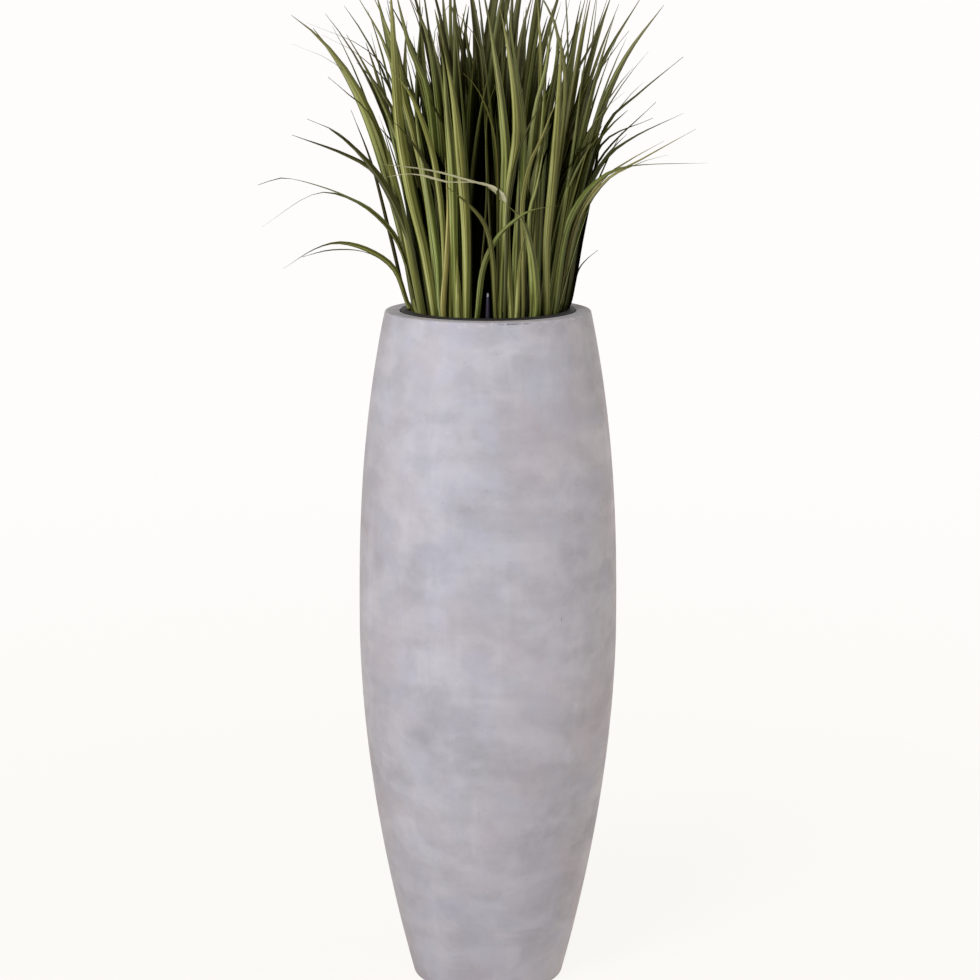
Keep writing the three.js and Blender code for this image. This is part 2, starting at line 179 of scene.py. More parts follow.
def calculate(tree, operation, first, second=0.0, third=0.0):
    node = add_node(
        tree, "ShaderNodeMath", {0: first, 1: second, 2: third}, operation=operation)
    return node.outputs[0]


def vector_math(tree, operation, first, second):
    node = add_node(
        tree, "ShaderNodeVectorMath", {0: first, 1: second}, operation=operation)
    return node.outputs[0]


def mixed(tree, factor, first, second, blend="MIX"):
    def colour(value):
        return (*value, 1.0) if isinstance(value, tuple) and len(value) == 3 else value
    node = add_node(
        tree, "ShaderNodeMix", {0: factor, 6: colour(first), 7: colour(second)},
        data_type="RGBA", blend_type=blend)
    return node.outputs[2]


def between(tree, value, low, high, out_low=0.0, out_high=1.0):
    """Maps a range of values on another, held at its ends."""
    node = add_node(tree, "ShaderNodeMapRange", {
        "Value": value, "From Min": low, "From Max": high,
        "To Min": out_low, "To Max": out_high})
    return node.outputs[0]


def ramp(tree, value, stops):
    node = add_node(tree, "ShaderNodeValToRGB", {0: value})
    elements = node.color_ramp.elements
    while len(elements) < len(stops):
        elements.new(0.5)
    for element, (place, colour) in zip(elements, stops):
        element.position = place
        element.color = (*colour, 1.0) if len(colour) == 3 else colour
    return node.outputs[0]


def new_group(name, kind, inputs, outputs):
    """An empty node group, with the sockets of its group input and group output."""
    tree = bpy.data.node_groups.new(name, kind)
    for socket_name, socket_kind, default in inputs:
        socket = tree.interface.new_socket(
            name=socket_name, in_out="INPUT", socket_type=socket_kind)
        if default is not None:
            socket.default_value = default
    for socket_name, socket_kind in outputs:
        tree.interface.new_socket(
            name=socket_name, in_out="OUTPUT", socket_type=socket_kind)
    start = tree.nodes.new("NodeGroupInput").outputs
    end = tree.nodes.new("NodeGroupOutput").inputs
    return tree, start, end


FLOAT = "NodeSocketFloat"
VECTOR = "NodeSocketVector"
GEOMETRY = "NodeSocketGeometry"
MATERIAL = "NodeSocketMaterial"


def clouds_group():
    """Soft clouds, stretched where the surface was worked in one direction."""
    tree, start, end = new_group("Soft clouds", "ShaderNodeTree", [
        ("Vector", VECTOR, None), ("Stretch", VECTOR, (1.0, 1.0, 1.0)),
        ("Scale", FLOAT, 6.0), ("Detail", FLOAT, 4.0), ("Distortion", FLOAT, 0.3),
        ("Low", FLOAT, 0.35), ("High", FLOAT, 0.65)], [("Mask", FLOAT)])
    stretched = vector_math(tree, "MULTIPLY", start["Vector"], start["Stretch"])
    noise = add_node(tree, "ShaderNodeTexNoise", {
        "Vector": stretched, "Scale": start["Scale"], "Detail": start["Detail"],
        "Roughness": 0.55, "Distortion": start["Distortion"]})
    mask = between(tree, noise.outputs[0], start["Low"], start["High"])
    tree.links.new(mask, end["Mask"])
    return tree


def marks_group():
    """Sparse small marks: pits where the stretch is even, scratches where it is not."""
    tree, start, end = new_group("Sparse marks", "ShaderNodeTree", [
        ("Vector", VECTOR, None), ("Stretch", VECTOR, (1.0, 1.0, 1.0)),
        ("Scale", FLOAT, 120.0), ("Size", FLOAT, 0.2), ("Rarity", FLOAT, 0.6)],
        [("Mask", FLOAT)])
    stretched = vector_math(tree, "MULTIPLY", start["Vector"], start["Stretch"])
    cells = add_node(tree, "ShaderNodeTexVoronoi", {
        "Vector": stretched, "Scale": start["Scale"], "Randomness": 1.0})
    dots = calculate(tree, "LESS_THAN", cells.outputs["Distance"], start["Size"])
    chosen = add_node(tree, "ShaderNodeSeparateColor", {0: cells.outputs["Color"]})
    rare = calculate(tree, "GREATER_THAN", chosen.outputs[0], start["Rarity"])
    tree.links.new(calculate(tree, "MULTIPLY", dots, rare), end["Mask"])
    return tree


def grain_group():
    """Fine grain of a matte surface."""
    tree, start, end = new_group("Fine grain", "ShaderNodeTree", [
        ("Vector", VECTOR, None), ("Scale", FLOAT, 500.0)], [("Mask", FLOAT)])
    noise = add_node(tree, "ShaderNodeTexNoise", {
        "Vector": start["Vector"], "Scale": start["Scale"], "Detail": 3.0,
        "Roughness": 0.6})
    tree.links.new(noise.outputs[0], end["Mask"])
    return tree


SHADER_GROUPS = {
    "Soft clouds": clouds_group,
    "Sparse marks": marks_group,
    "Fine grain": grain_group,
}


def tree_named(name, maker):
    """The node group of that name, made at its first use."""
    return bpy.data.node_groups.get(name) or maker()


def use_group(tree, name, **inputs):
    """Places a shared shader group in a tree, and gives its mask."""
    group = tree_named(name, SHADER_GROUPS[name])
    return add_node(tree, "ShaderNodeGroup", inputs, node_tree=group).outputs["Mask"]


# ---- materials ----------------------------------------------------------------------------


def new_material(name):
    """A material, with its tree, its Principled shader and its object coordinates."""
    material = bpy.data.materials.new(name)
    material.use_nodes = True
    tree = material.node_tree
    shader = tree.nodes["Principled BSDF"]
    place = add_node(tree, "ShaderNodeTexCoord").outputs["Object"]
    return material, tree, shader, place


def bumped(tree, shader, height, distance, strength=1.0):
    bump = add_node(tree, "ShaderNodeBump", {
        "Height": height, "Distance": distance, "Strength": strength})
    tree.links.new(bump.outputs[0], shader.inputs["Normal"])


def summed(tree, terms):
    """Sum of masks, each times its share."""
    total = 0.0
    for mask, share in terms:
        total = calculate(tree, "MULTIPLY_ADD", mask, share, total)
    return total


def washed(tree, colour, mask, amount, over):
    """A colour with another laid over it where the mask is, by an amount."""
    return mixed(tree, calculate(tree, "MULTIPLY", mask, amount), colour, over)


def stone_material(settings):
    """Clouded concrete-look gel coat, matte, with trowel bands, pits and short scratches, edges
    painted warmer at grazing angles as a painted sheen, and a dark scuffed line under the lip that
    is also a painted shadow.
    """
    material, tree, shader, place = new_material("stone_grey_finish")

    def shifted(x, y, z):
        return vector_math(tree, "ADD", place, (x, y, z))

    clouds = use_group(tree, "Soft clouds", Vector=place, Scale=7.0, Detail=5.0,
                       Distortion=0.3, Low=0.36, High=0.64)
    patches = use_group(tree, "Soft clouds", Vector=place, Stretch=(1.0, 1.0, 1.5), Scale=15.0,
                        Detail=5.0, Distortion=0.3, Low=0.42, High=0.57)
    flecks = use_group(tree, "Soft clouds", Vector=shifted(2.3, 0.9, 6.1), Scale=42.0,
                       Detail=4.0, Distortion=0.2, Low=0.42, High=0.58)
    bands = use_group(tree, "Soft clouds", Vector=place, Stretch=(0.55, 0.55, 3.4),
                      Scale=9.0, Detail=4.0, Distortion=0.4, Low=0.36, High=0.64)
    runs = use_group(tree, "Soft clouds", Vector=shifted(5.2, 3.3, 1.8), Stretch=(1.0, 1.0, 0.2),
                     Scale=26.0, Detail=3.0, Distortion=0.3, Low=0.56, High=0.68)
    mottle = use_group(tree, "Soft clouds", Vector=place, Scale=110.0, Detail=4.0,
                       Low=0.36, High=0.64)
    grain = use_group(tree, "Fine grain", Vector=place, Scale=900.0)
    tone = summed(tree, [(clouds, 0.36), (patches, 0.28), (flecks, 0.08), (bands, 0.18),
                         (mottle, 0.06), (runs, 0.14)])
    colour = mixed(tree, tone, tuple(settings.dark_stone), tuple(settings.light_stone))
    rosy = use_group(tree, "Soft clouds", Vector=shifted(3.1, 1.7, 0.4), Scale=8.0,
                     Detail=4.0, Low=0.48, High=0.62)
    cool = use_group(tree, "Soft clouds", Vector=shifted(7.3, 2.9, 5.4), Scale=15.0,
                     Detail=4.0, Low=0.5, High=0.62)
    colour = washed(tree, colour, rosy, 0.24, srgb(194, 180, 186))
    colour = washed(tree, colour, cool, 0.3, srgb(184, 186, 203))
    pits = use_group(tree, "Sparse marks", Vector=place, Scale=160.0, Size=0.16, Rarity=0.88)
    nicks = use_group(tree, "Sparse marks", Vector=place, Stretch=(1.6, 1.6, 0.4),
                      Scale=30.0, Size=0.05, Rarity=0.84)
    scrapes = use_group(tree, "Sparse marks", Vector=shifted(1.2, 4.4, 2.6),
                        Stretch=(0.5, 0.5, 2.4), Scale=26.0, Size=0.05, Rarity=0.86)
    marks = calculate(tree, "MAXIMUM", calculate(tree, "MULTIPLY", pits, 0.22),
                      calculate(tree, "MULTIPLY", nicks, 0.34))
    colour = mixed(tree, marks, colour, srgb(104, 98, 108))
    colour = washed(tree, colour, scrapes, 0.35, srgb(216, 214, 220))
    axes = add_node(tree, "ShaderNodeSeparateXYZ", {0: place}).outputs
    edge = between(tree, axes["Z"], 0.984, 0.995)
    chipped = use_group(tree, "Soft clouds", Vector=place, Stretch=(1.0, 1.0, 2.5),
                        Scale=95.0, Detail=3.0, Low=0.56, High=0.64)
    worn = calculate(tree, "MULTIPLY", edge, chipped)
    colour = washed(tree, colour, worn, 0.4, srgb(214, 211, 216))
    # Dark line under the lip at the front: partly scuffing, partly a painted shadow of the lip's
    # edge.
    lip_shadow_scuff = lip_shadow_scuff_mask(tree, place, axes)
    colour = mixed(tree, lip_shadow_scuff, colour, srgb(96, 90, 100))
    # Painted sheen: the colour turns warmer at grazing angles, standing in for warm light
    # reflected onto the shell's edges.
    facing = add_node(tree, "ShaderNodeLayerWeight", {"Blend": 0.5}).outputs["Facing"]
    warm = between(tree, facing, 0.3, 0.9)
    colour = mixed(tree, warm, colour, mixed(tree, 1.0, colour, (1.04, 1.01, 0.95), "MULTIPLY"))
    tree.links.new(colour, shader.inputs["Base Color"])
    roughness = summed(tree, [(tone, -0.16), (grain, 0.1)])
    roughness = calculate(tree, "ADD", roughness, 0.76)
    tree.links.new(roughness, shader.inputs["Roughness"])
    shader.inputs["Specular IOR Level"].default_value = 0.35
    relief = summed(tree, [(grain, 0.12), (mottle, 0.3), (flecks, 0.35), (bands, 0.7),
                           (marks, -1.5), (lip_shadow_scuff, -0.8), (worn, -0.4)])
    bumped(tree, shader, relief, 0.0005, 0.6)
    return material


def lip_shadow_scuff_mask(tree, place, axes):
    """A broken dark line along the rim's outer edge, at the front and right of its middle: partly
    scuffing, partly a painted shadow under the lip.
    """
    low, high = LIP_SHADOW_SCUFF_HEIGHTS
    start, stop = LIP_SHADOW_SCUFF_SPAN
    rise = between(tree, axes["Z"], low - 0.0006, low + 0.0004)
    fall = between(tree, axes["Z"], high - 0.0004, high + 0.0006, 1.0, 0.0)
    first = between(tree, axes["X"], start, start + 0.006)
    last = between(tree, axes["X"], stop - 0.006, stop, 1.0, 0.0)
    front = calculate(tree, "LESS_THAN", axes["Y"], 0.0)
    broken = use_group(tree, "Soft clouds", Vector=place, Scale=150.0, Detail=3.0, Low=0.42,
                       High=0.56)
    mask = calculate(tree, "MULTIPLY", rise, fall)
    for part in (first, last, front, broken):
        mask = calculate(tree, "MULTIPLY", mask, part)
    return calculate(tree, "MULTIPLY", mask, 0.7)


def laminate_material():
    """Bare glass-fibre laminate, as the shell's inside and the bottom panel have it."""
    material, tree, shader, place = new_material("raw_laminate")
    strands = use_group(tree, "Soft clouds", Vector=place, Stretch=(1.0, 0.25, 1.0),
                        Scale=260.0, Detail=2.0, Distortion=1.5)
    crossing = use_group(tree, "Soft clouds", Vector=place, Stretch=(0.25, 1.0, 0.6),
                         Scale=240.0, Detail=2.0, Distortion=1.5)
    weave = calculate(tree, "MAXIMUM", strands, crossing)
    clouds = use_group(tree, "Soft clouds", Vector=place, Scale=14.0)
    colour = mixed(tree, weave, srgb(122, 121, 112), srgb(156, 155, 146))
    colour = washed(tree, colour, clouds, 0.4, srgb(134, 128, 108))
    tree.links.new(colour, shader.inputs["Base Color"])
    shader.inputs["Roughness"].default_value = 0.62
    bumped(tree, shader, weave, 0.0004, 0.8)
    return material


def moulded_material(name, colour, roughness, sheen=0.5, grain_scale=700.0):
    """Moulded plastic or rubber with a fine leathery grain and faint scuffs."""
    material, tree, shader, place = new_material(name)
    grain = use_group(tree, "Fine grain", Vector=place, Scale=grain_scale)
    scuffs = use_group(tree, "Soft clouds", Vector=place, Stretch=(1.0, 1.0, 0.3),
                       Scale=60.0, Detail=5.0, Low=0.5, High=0.8)
    paler = tuple(min(1.0, channel * 1.7 + 0.01) for channel in colour)
    shade = washed(tree, tuple(colour), scuffs, 0.5, paler)
    tree.links.new(shade, shader.inputs["Base Color"])
    rough = calculate(tree, "MULTIPLY_ADD", scuffs, 0.2, roughness)
    tree.links.new(rough, shader.inputs["Roughness"])
    shader.inputs["Specular IOR Level"].default_value = sheen
    bumped(tree, shader, grain, 0.00025, 0.5)
    return material


def stake_material():
    """Plum-coloured plastic whose very tip is worn pale."""
    material, tree, shader, place = new_material("plum_stake")
    height = add_node(tree, "ShaderNodeSeparateXYZ", {0: place}).outputs["Z"]
    tip = between(tree, height, STAKE_TOP - 0.006, STAKE_TOP - 0.004)
    grain = use_group(tree, "Fine grain", Vector=place, Scale=900.0)
    body = mixed(tree, grain, srgb(44, 38, 54), srgb(70, 60, 84))
    tree.links.new(mixed(tree, tip, body, srgb(196, 194, 202)), shader.inputs["Base Color"])
    shader.inputs["Roughness"].default_value = 0.5
    bumped(tree, shader, grain, 0.0002, 0.5)
    return material


def foam_material():
    """Dry crumbly foam."""
    material, tree, shader, place = new_material("dry_foam")
    cells = add_node(tree, "ShaderNodeTexVoronoi", {"Vector": place, "Scale": 420.0})
    distance = cells.outputs["Distance"]
    clouds = use_group(tree, "Soft clouds", Vector=place, Scale=22.0)
    colour = mixed(tree, clouds, srgb(42, 68, 46), srgb(58, 86, 60))
    colour = mixed(tree, between(tree, distance, 0.2, 0.6, 0.5, 0.0), colour, srgb(30, 50, 34))
    tree.links.new(colour, shader.inputs["Base Color"])
    shader.inputs["Roughness"].default_value = 0.95
    bumped(tree, shader, distance, 0.0012, 0.8)
    return material


def bark_material():
    """Dark shredded bark."""
    material, tree, shader, place = new_material("dark_bark")
    fibres = use_group(tree, "Soft clouds", Vector=place, Stretch=(1.0, 0.3, 1.0),
                       Scale=320.0, Detail=4.0, Distortion=1.0)
    clouds = use_group(tree, "Soft clouds", Vector=place, Scale=70.0)
    colour = mixed(tree, clouds, srgb(34, 25, 18), srgb(66, 48, 34))
    colour = washed(tree, colour, fibres, 0.5, srgb(92, 72, 54))
    tree.links.new(colour, shader.inputs["Base Color"])
    shader.inputs["Roughness"].default_value = 0.9
    bumped(tree, shader, fibres, 0.0006, 0.8)
    return material


def attribute(tree, name):
    return add_node(tree, "ShaderNodeAttribute", attribute_name=name).outputs["Fac"]


def grass_material():
    """Printed plastic grass, with painted shade and painted highlights. Each blade carries its own
    tint and the painted shade that darkens it towards black, as attributes.
    """
    material, tree, shader, place = new_material("printed_grass")
    height = add_node(tree, "ShaderNodeSeparateXYZ", {0: place}).outputs["Z"]
    tint = attribute(tree, "tint")
    shade = attribute(tree, "shade")
    along = attribute(tree, "along")
    across = attribute(tree, "across")
    off_rib = calculate(tree, "ABSOLUTE", across)
    # The top of both ramps is near white: pale straw, brightened as a painted highlight for the
    # pale level blades.
    warm = ramp(tree, tint, [
        (0.0, srgb(54, 45, 12)), (0.15, srgb(72, 70, 12)), (0.42, srgb(116, 118, 34)),
        (0.7, srgb(156, 160, 76)), (0.88, srgb(186, 172, 92)), (1.0, srgb(244, 241, 204))])
    green = ramp(tree, tint, [
        (0.0, srgb(46, 50, 8)), (0.42, srgb(100, 117, 32)), (0.7, srgb(136, 154, 74)),
        (0.88, srgb(172, 172, 92)), (1.0, srgb(240, 241, 204))])
    chance = calculate(tree, "FRACT", calculate(tree, "MULTIPLY", tint, 23.0))
    colour = mixed(tree, between(tree, chance, 0.3, 0.7), warm, green)
    print_place = add_node(tree, "ShaderNodeCombineXYZ", {
        0: calculate(tree, "MULTIPLY", across, 1.9),
        1: calculate(tree, "MULTIPLY", along, 1.3),
        2: calculate(tree, "MULTIPLY", tint, 61.0)}).outputs[0]
    veins = use_group(tree, "Soft clouds", Vector=print_place, Scale=1.6, Detail=3.0,
                      Distortion=0.0, Low=0.39, High=0.61)
    blotches = use_group(tree, "Soft clouds", Vector=print_place,
                         Stretch=(0.3, 3.0, 1.7), Scale=1.1, Detail=2.0, Low=0.5, High=0.68)
    # Share of the print and of the painted shade on a blade: mostly off on the palest blades.
    print_and_shade_share = between(tree, tint, 0.91, 0.96, 1.0, 0.15)
    blotches = calculate(tree, "MULTIPLY", blotches, print_and_shade_share)
    colour = washed(tree, colour, blotches, 0.45, srgb(96, 84, 34))
    # Dark streaks along the veins: partly the print's own stripes, partly painted shade along the
    # blade.
    colour = mixed(tree, calculate(tree, "MULTIPLY", print_and_shade_share, between(
        tree, veins, 0.0, 1.0, 0.7, 0.0)), colour, srgb(36, 38, 2))
    # Painted shade: one half of each blade is darkened, as the fold would be shaded in a hard
    # light.
    painted_shade_side = calculate(tree, "MULTIPLY", print_and_shade_share, between(
        tree, across, -0.15, 0.45, 0.0, 0.6))
    colour = mixed(tree, painted_shade_side, colour, srgb(36, 37, 3))
    # Pale line along the rib: the blade's pale midrib, and a painted highlight on the crease of
    # the fold.
    rib = between(tree, off_rib, 0.04, 0.15, 0.34, 0.0)
    colour = mixed(tree, rib, colour, srgb(196, 192, 122))
    # Painted highlight: a pale streak on the other half of the blade, as if its fold caught the
    # light.
    painted_highlight_side = calculate(tree, "MULTIPLY", between(tree, across, -1.0, -0.55),
                         between(tree, across, -0.5, -0.1, 1.0, 0.0))
    lit = calculate(tree, "MULTIPLY", painted_highlight_side, between(tree, veins, 0.3, 0.9, 0.0, 0.6))
    colour = mixed(tree, lit, colour, srgb(206, 208, 158))
    # Painted light: blades are paler towards the top of the bush, where more light reaches them.
    colour = mixed(tree, between(tree, height, 1.3, 1.44, 0.0, 0.24), colour,
                   srgb(190, 188, 146))
    tip = ramp(tree, along, [(0.0, (0.94, 0.94, 0.94)), (0.4, (1, 1, 1)),
                             (0.9, (0.96, 0.95, 0.92)), (1.0, (0.7, 0.66, 0.56))])
    colour = mixed(tree, 1.0, colour, tip, "MULTIPLY")
    # Painted shade: blades deep in the bush are darkened towards black, less so towards the top.
    painted_shade_depth = calculate(tree, "MULTIPLY", shade, between(tree, height, 1.14, 1.4, 1.0, 0.36))
    colour = mixed(tree, painted_shade_depth, colour, (0.0015, 0.0015, 0.0006))
    tree.links.new(colour, shader.inputs["Base Color"])
    roughness = calculate(tree, "MULTIPLY_ADD", veins, 0.14, 0.44)
    tree.links.new(roughness, shader.inputs["Roughness"])
    gloss = calculate(tree, "MULTIPLY_ADD", shade, -0.2, 0.2)
    tree.links.new(gloss, shader.inputs["Specular IOR Level"])
    bumped(tree, shader, veins, 0.0004, 0.6)
    return material


def crown_material():
    return moulded_material("grass_crown", srgb(38, 42, 24), 0.6)


# ---- geometry trees -----------------------------------------------------------------------


def finished(tree, mesh, material, end, sharp_degrees=30.0):
    """Ends a tree: smooth but for sharp edges, realized, and with its material."""
    angle = add_node(tree, "GeometryNodeInputMeshEdgeAngle").outputs[0]
    soft = add_node(tree, "FunctionNodeCompare", {
        0: angle, 1: math.radians(sharp_degrees)}, data_type="FLOAT",
        operation="LESS_THAN").outputs[0]
    faces = add_node(tree, "GeometryNodeSetShadeSmooth", {
        "Geometry": mesh, "Shade Smooth": True}, domain="FACE")
    edges = add_node(tree, "GeometryNodeSetShadeSmooth", {
        "Geometry": faces.outputs[0], "Shade Smooth": soft}, domain="EDGE")
    real = add_node(tree, "GeometryNodeRealizeInstances", {0: edges.outputs[0]})
    painted = add_node(tree, "GeometryNodeSetMaterial", {
        "Geometry": real.outputs[0], "Material": material})
    tree.links.new(painted.outputs[0], end[0])


def turned_tree():
    """Turns a profile loop round the Z axis and lets its wall wander a little from true."""
    tree, start, end = new_group("Turned piece", "GeometryNodeTree", [
        ("Profile", GEOMETRY, None), ("Sides", "NodeSocketInt", 96),
        ("Guide Radius", FLOAT, 0.1), ("Waviness", FLOAT, 0.0), ("Wave Scale", FLOAT, 9.0),
        ("Flatness", FLOAT, 0.35), ("Material", MATERIAL, None)], [("Mesh", GEOMETRY)])
    profile = add_node(tree, "GeometryNodeMeshToCurve", {"Mesh": start["Profile"]})
    guide = add_node(tree, "GeometryNodeCurvePrimitiveCircle", {
        "Resolution": start["Sides"], "Radius": start["Guide Radius"]})
    wall = add_node(tree, "GeometryNodeCurveToMesh", {
        "Curve": guide.outputs[0], "Profile Curve": profile.outputs[0]})
    closed = add_node(tree, "GeometryNodeMergeByDistance", {
        "Geometry": wall.outputs[0], "Distance": 0.000002})
    place = add_node(tree, "GeometryNodeInputPosition").outputs[0]
    squeezed = vector_math(tree, "MULTIPLY", place, add_node(
        tree, "ShaderNodeCombineXYZ", {0: 1.0, 1: 1.0, 2: calculate(
            tree, "DIVIDE", 1.0, start["Flatness"])}).outputs[0])
    noise = add_node(tree, "ShaderNodeTexNoise", {
        "Vector": squeezed, "Scale": start["Wave Scale"], "Detail": 2.0})
    inwards = calculate(tree, "MULTIPLY", calculate(
        tree, "MULTIPLY", noise.outputs[0], start["Waviness"]), -1.0)
    normal = add_node(tree, "GeometryNodeInputNormal").outputs[0]
    offset = add_node(tree, "ShaderNodeVectorMath", {
        0: normal, "Scale": inwards}, operation="SCALE").outputs[0]
    waved = add_node(tree, "GeometryNodeSetPosition", {
        "Geometry": closed.outputs[0], "Offset": offset})
    finished(tree, waved.outputs[0], start["Material"], end)
    return tree


def blades_tree():
    """Sweeps a folded section along each rib, with the width that its points carry."""
    tree, start, end = new_group("Grass blades", "GeometryNodeTree", [
        ("Ribs", GEOMETRY, None), ("Fold", FLOAT, 0.4), ("Thickness", FLOAT, 0.09),
        ("Material", MATERIAL, None)], [("Mesh", GEOMETRY)])

    def named(name, kind):
        return add_node(tree, "GeometryNodeInputNamedAttribute", {"Name": name},
                        data_type=kind).outputs[0]
    half_fold = calculate(tree, "MULTIPLY", start["Fold"], 0.5)
    keel = calculate(tree, "SUBTRACT", calculate(
        tree, "MULTIPLY", start["Thickness"], -0.5), half_fold)
    groove = calculate(tree, "SUBTRACT", calculate(
        tree, "MULTIPLY", start["Thickness"], 0.5), half_fold)
    corners = [
        add_node(tree, "ShaderNodeCombineXYZ", {0: x, 1: y}).outputs[0]
        for x, y in ((-1.0, half_fold), (0.0, keel), (1.0, half_fold), (0.0, groove))]
    section = add_node(tree, "GeometryNodeCurvePrimitiveQuadrilateral", {
        f"Point {index + 1}": corner for index, corner in enumerate(corners)}, mode="POINTS")
    sideways = add_node(tree, "ShaderNodeSeparateXYZ", {
        0: add_node(tree, "GeometryNodeInputPosition").outputs[0]}).outputs[0]
    marked = add_node(tree, "GeometryNodeStoreNamedAttribute", {
        "Geometry": section.outputs[0], "Name": "across", "Value": sideways},
        data_type="FLOAT", domain="POINT")
    ribs = add_node(tree, "GeometryNodeMeshToCurve", {"Mesh": start["Ribs"]})
    turned = add_node(tree, "GeometryNodeSetCurveNormal", {
        "Curve": ribs.outputs[0], "Normal": named("side", "FLOAT_VECTOR")}, mode="FREE")
    swept = add_node(tree, "GeometryNodeCurveToMesh", {
        "Curve": turned.outputs[0], "Profile Curve": marked.outputs[0],
        "Scale": named("half_width", "FLOAT"), "Fill Caps": True})
    finished(tree, swept.outputs[0], start["Material"], end, 25.0)
    return tree


def chips_tree():
    """Scatters bark chips over the top of the layer that they lie on."""
    tree, start, end = new_group("Bark chips", "GeometryNodeTree", [
        ("Layer", GEOMETRY, None), ("Reach", FLOAT, 0.1), ("Chip Length", FLOAT, 0.011),
        ("Density", FLOAT, 26000.0), ("Seed", "NodeSocketInt", 5),
        ("Material", MATERIAL, None)], [("Mesh", GEOMETRY)])
    place = add_node(tree, "GeometryNodeInputPosition").outputs[0]
    flat = vector_math(tree, "MULTIPLY", place, (1.0, 1.0, 0.0))
    reach = add_node(tree, "ShaderNodeVectorMath", {0: flat}, operation="LENGTH").outputs[1]
    inside = calculate(tree, "LESS_THAN", reach, start["Reach"])
    up = add_node(tree, "ShaderNodeSeparateXYZ", {
        0: add_node(tree, "GeometryNodeInputNormal").outputs[0]}).outputs[2]
    top = calculate(tree, "GREATER_THAN", up, 0.9)
    spots = add_node(tree, "GeometryNodeDistributePointsOnFaces", {
        "Mesh": start["Layer"], "Density": start["Density"], "Seed": start["Seed"],
        "Selection": calculate(tree, "MULTIPLY", inside, top)})
    chip = add_node(tree, "GeometryNodeMeshCube", {
        "Size": (1.0, 0.42, 0.16), "Vertices X": 4, "Vertices Y": 3, "Vertices Z": 2})
    noise = add_node(tree, "ShaderNodeTexNoise", {
        "Vector": place, "Scale": 1.9, "Detail": 2.0})
    rough = vector_math(tree, "MULTIPLY", vector_math(
        tree, "SUBTRACT", noise.outputs[1], (0.5, 0.5, 0.5)), (0.5, 0.7, 0.7))
    bent = add_node(tree, "GeometryNodeSetPosition", {
        "Geometry": chip.outputs[0], "Offset": rough})
    turn = add_node(tree, "FunctionNodeRandomValue", {
        0: (-0.35, -0.35, 0.0), 1: (0.35, 0.35, 2 * math.pi), "Seed": start["Seed"]},
        data_type="FLOAT_VECTOR").outputs[0]
    size = add_node(tree, "FunctionNodeRandomValue", {
        2: 0.5, 3: 1.0, "Seed": calculate(tree, "ADD", start["Seed"], 1)},
        data_type="FLOAT").outputs[1]
    scattered = add_node(tree, "GeometryNodeInstanceOnPoints", {
        "Points": spots.outputs[0], "Instance": bent.outputs[0], "Rotation": turn,
        "Scale": calculate(tree, "MULTIPLY", size, start["Chip Length"])})
    lifted = add_node(tree, "GeometryNodeTranslateInstances", {
        "Instances": scattered.outputs[0], "Translation": (0.0, 0.0, 0.0005)})
    both = add_node(tree, "GeometryNodeJoinGeometry")
    tree.links.new(lifted.outputs[0], both.inputs[0])
    tree.links.new(start["Layer"], both.inputs[0])
    finished(tree, both.outputs[0], start["Material"], end)
    return tree


def made(name, mesh, tree, inputs):
    """An object whose plain mesh is what the tree makes of the given mesh."""
    piece = bpy.data.objects.new(name, mesh)
    bpy.context.scene.collection.objects.link(piece)
    modifier = piece.modifiers.new(tree.name, "NODES")
    modifier.node_group = tree
    for socket in tree.interface.items_tree:
        if socket.in_out == "INPUT" and socket.name in inputs:
            modifier[socket.identifier] = inputs[socket.name]
    graph = bpy.context.evaluated_depsgraph_get()
    graph.update()
    result = bpy.data.meshes.new_from_object(piece.evaluated_get(graph))
    piece.modifiers.clear()
    piece.data = result
    result.name = name
    bpy.data.meshes.remove(mesh)
    return piece


# ---- profiles of the turned pieces --------------------------------------------------------


def filleted(corners, steps=6):
    """Rounds the corners of a profile. A corner is (radius, height) or has its rounding too."""
    points = []
    count = len(corners)
    for index, (x, z, *rounding) in enumerate(corners):
        here = Vector((x, z))
        if not rounding:
            points.append(here)
            continue
        before = (Vector(corners[index - 1][:2]) - here).normalized()
        after = (Vector(corners[(index + 1) % count][:2]) - here).normalized()
        half = before.angle(after) / 2
        middle = here + (before + after).normalized() * rounding[0] / math.sin(half)
        reach = rounding[0] / math.tan(half)
        first = here + before * reach - middle
        last = here + after * reach - middle
        turn = first.angle_signed(last)
        for step in range(steps + 1):
            angle = -turn * step / steps
            points.append(middle + Matrix.Rotation(angle, 2) @ first)
    return [(point.x, point.y) for point in points]


def turned(name, corners, sides, material, waviness=0.0, wave_scale=9.0, flatness=0.35):
    """A piece turned round the Z axis from a profile that runs up its outside first."""
    points = filleted(corners)
    guide = max(x for x, _ in points) / 2
    count = len(points)
    # The profile's y becomes -Z on the guide circle, so the loop is run the other way round.
    vertices = [(x - guide, -z, 0.0) for x, z in reversed(points)]
    mesh = bpy.data.meshes.new(name + "_profile")
    mesh.from_pydata(vertices, [(i, (i + 1) % count) for i in range(count)], [])
    return made(name, mesh, tree_named("Turned piece", turned_tree), {
        "Sides": sides, "Guide Radius": guide, "Waviness": waviness,
        "Wave Scale": wave_scale, "Flatness": flatness, "Material": material})


def barrel_radius(shell, height):
    """Outer radius of the shell: two power curves that meet at the belly."""
    if height < shell.belly_height:
        down = (shell.belly_height - height) / shell.belly_height
        return shell.belly_radius - (shell.belly_radius - shell.base_radius) * down ** LOWER_BULGE
    up = (height - shell.belly_height) / (shell.height - shell.belly_height)
    return shell.belly_radius - (shell.belly_radius - shell.rim_radius) * up ** UPPER_BULGE


def wall_curve(shell, inset, low, high, steps):
    heights = [low + (high - low) * step / steps for step in range(steps + 1)]
    return [(barrel_radius(shell, height) - inset, height) for height in heights]


# ---- shell, bottom panel and bung ---------------------------------------------------------

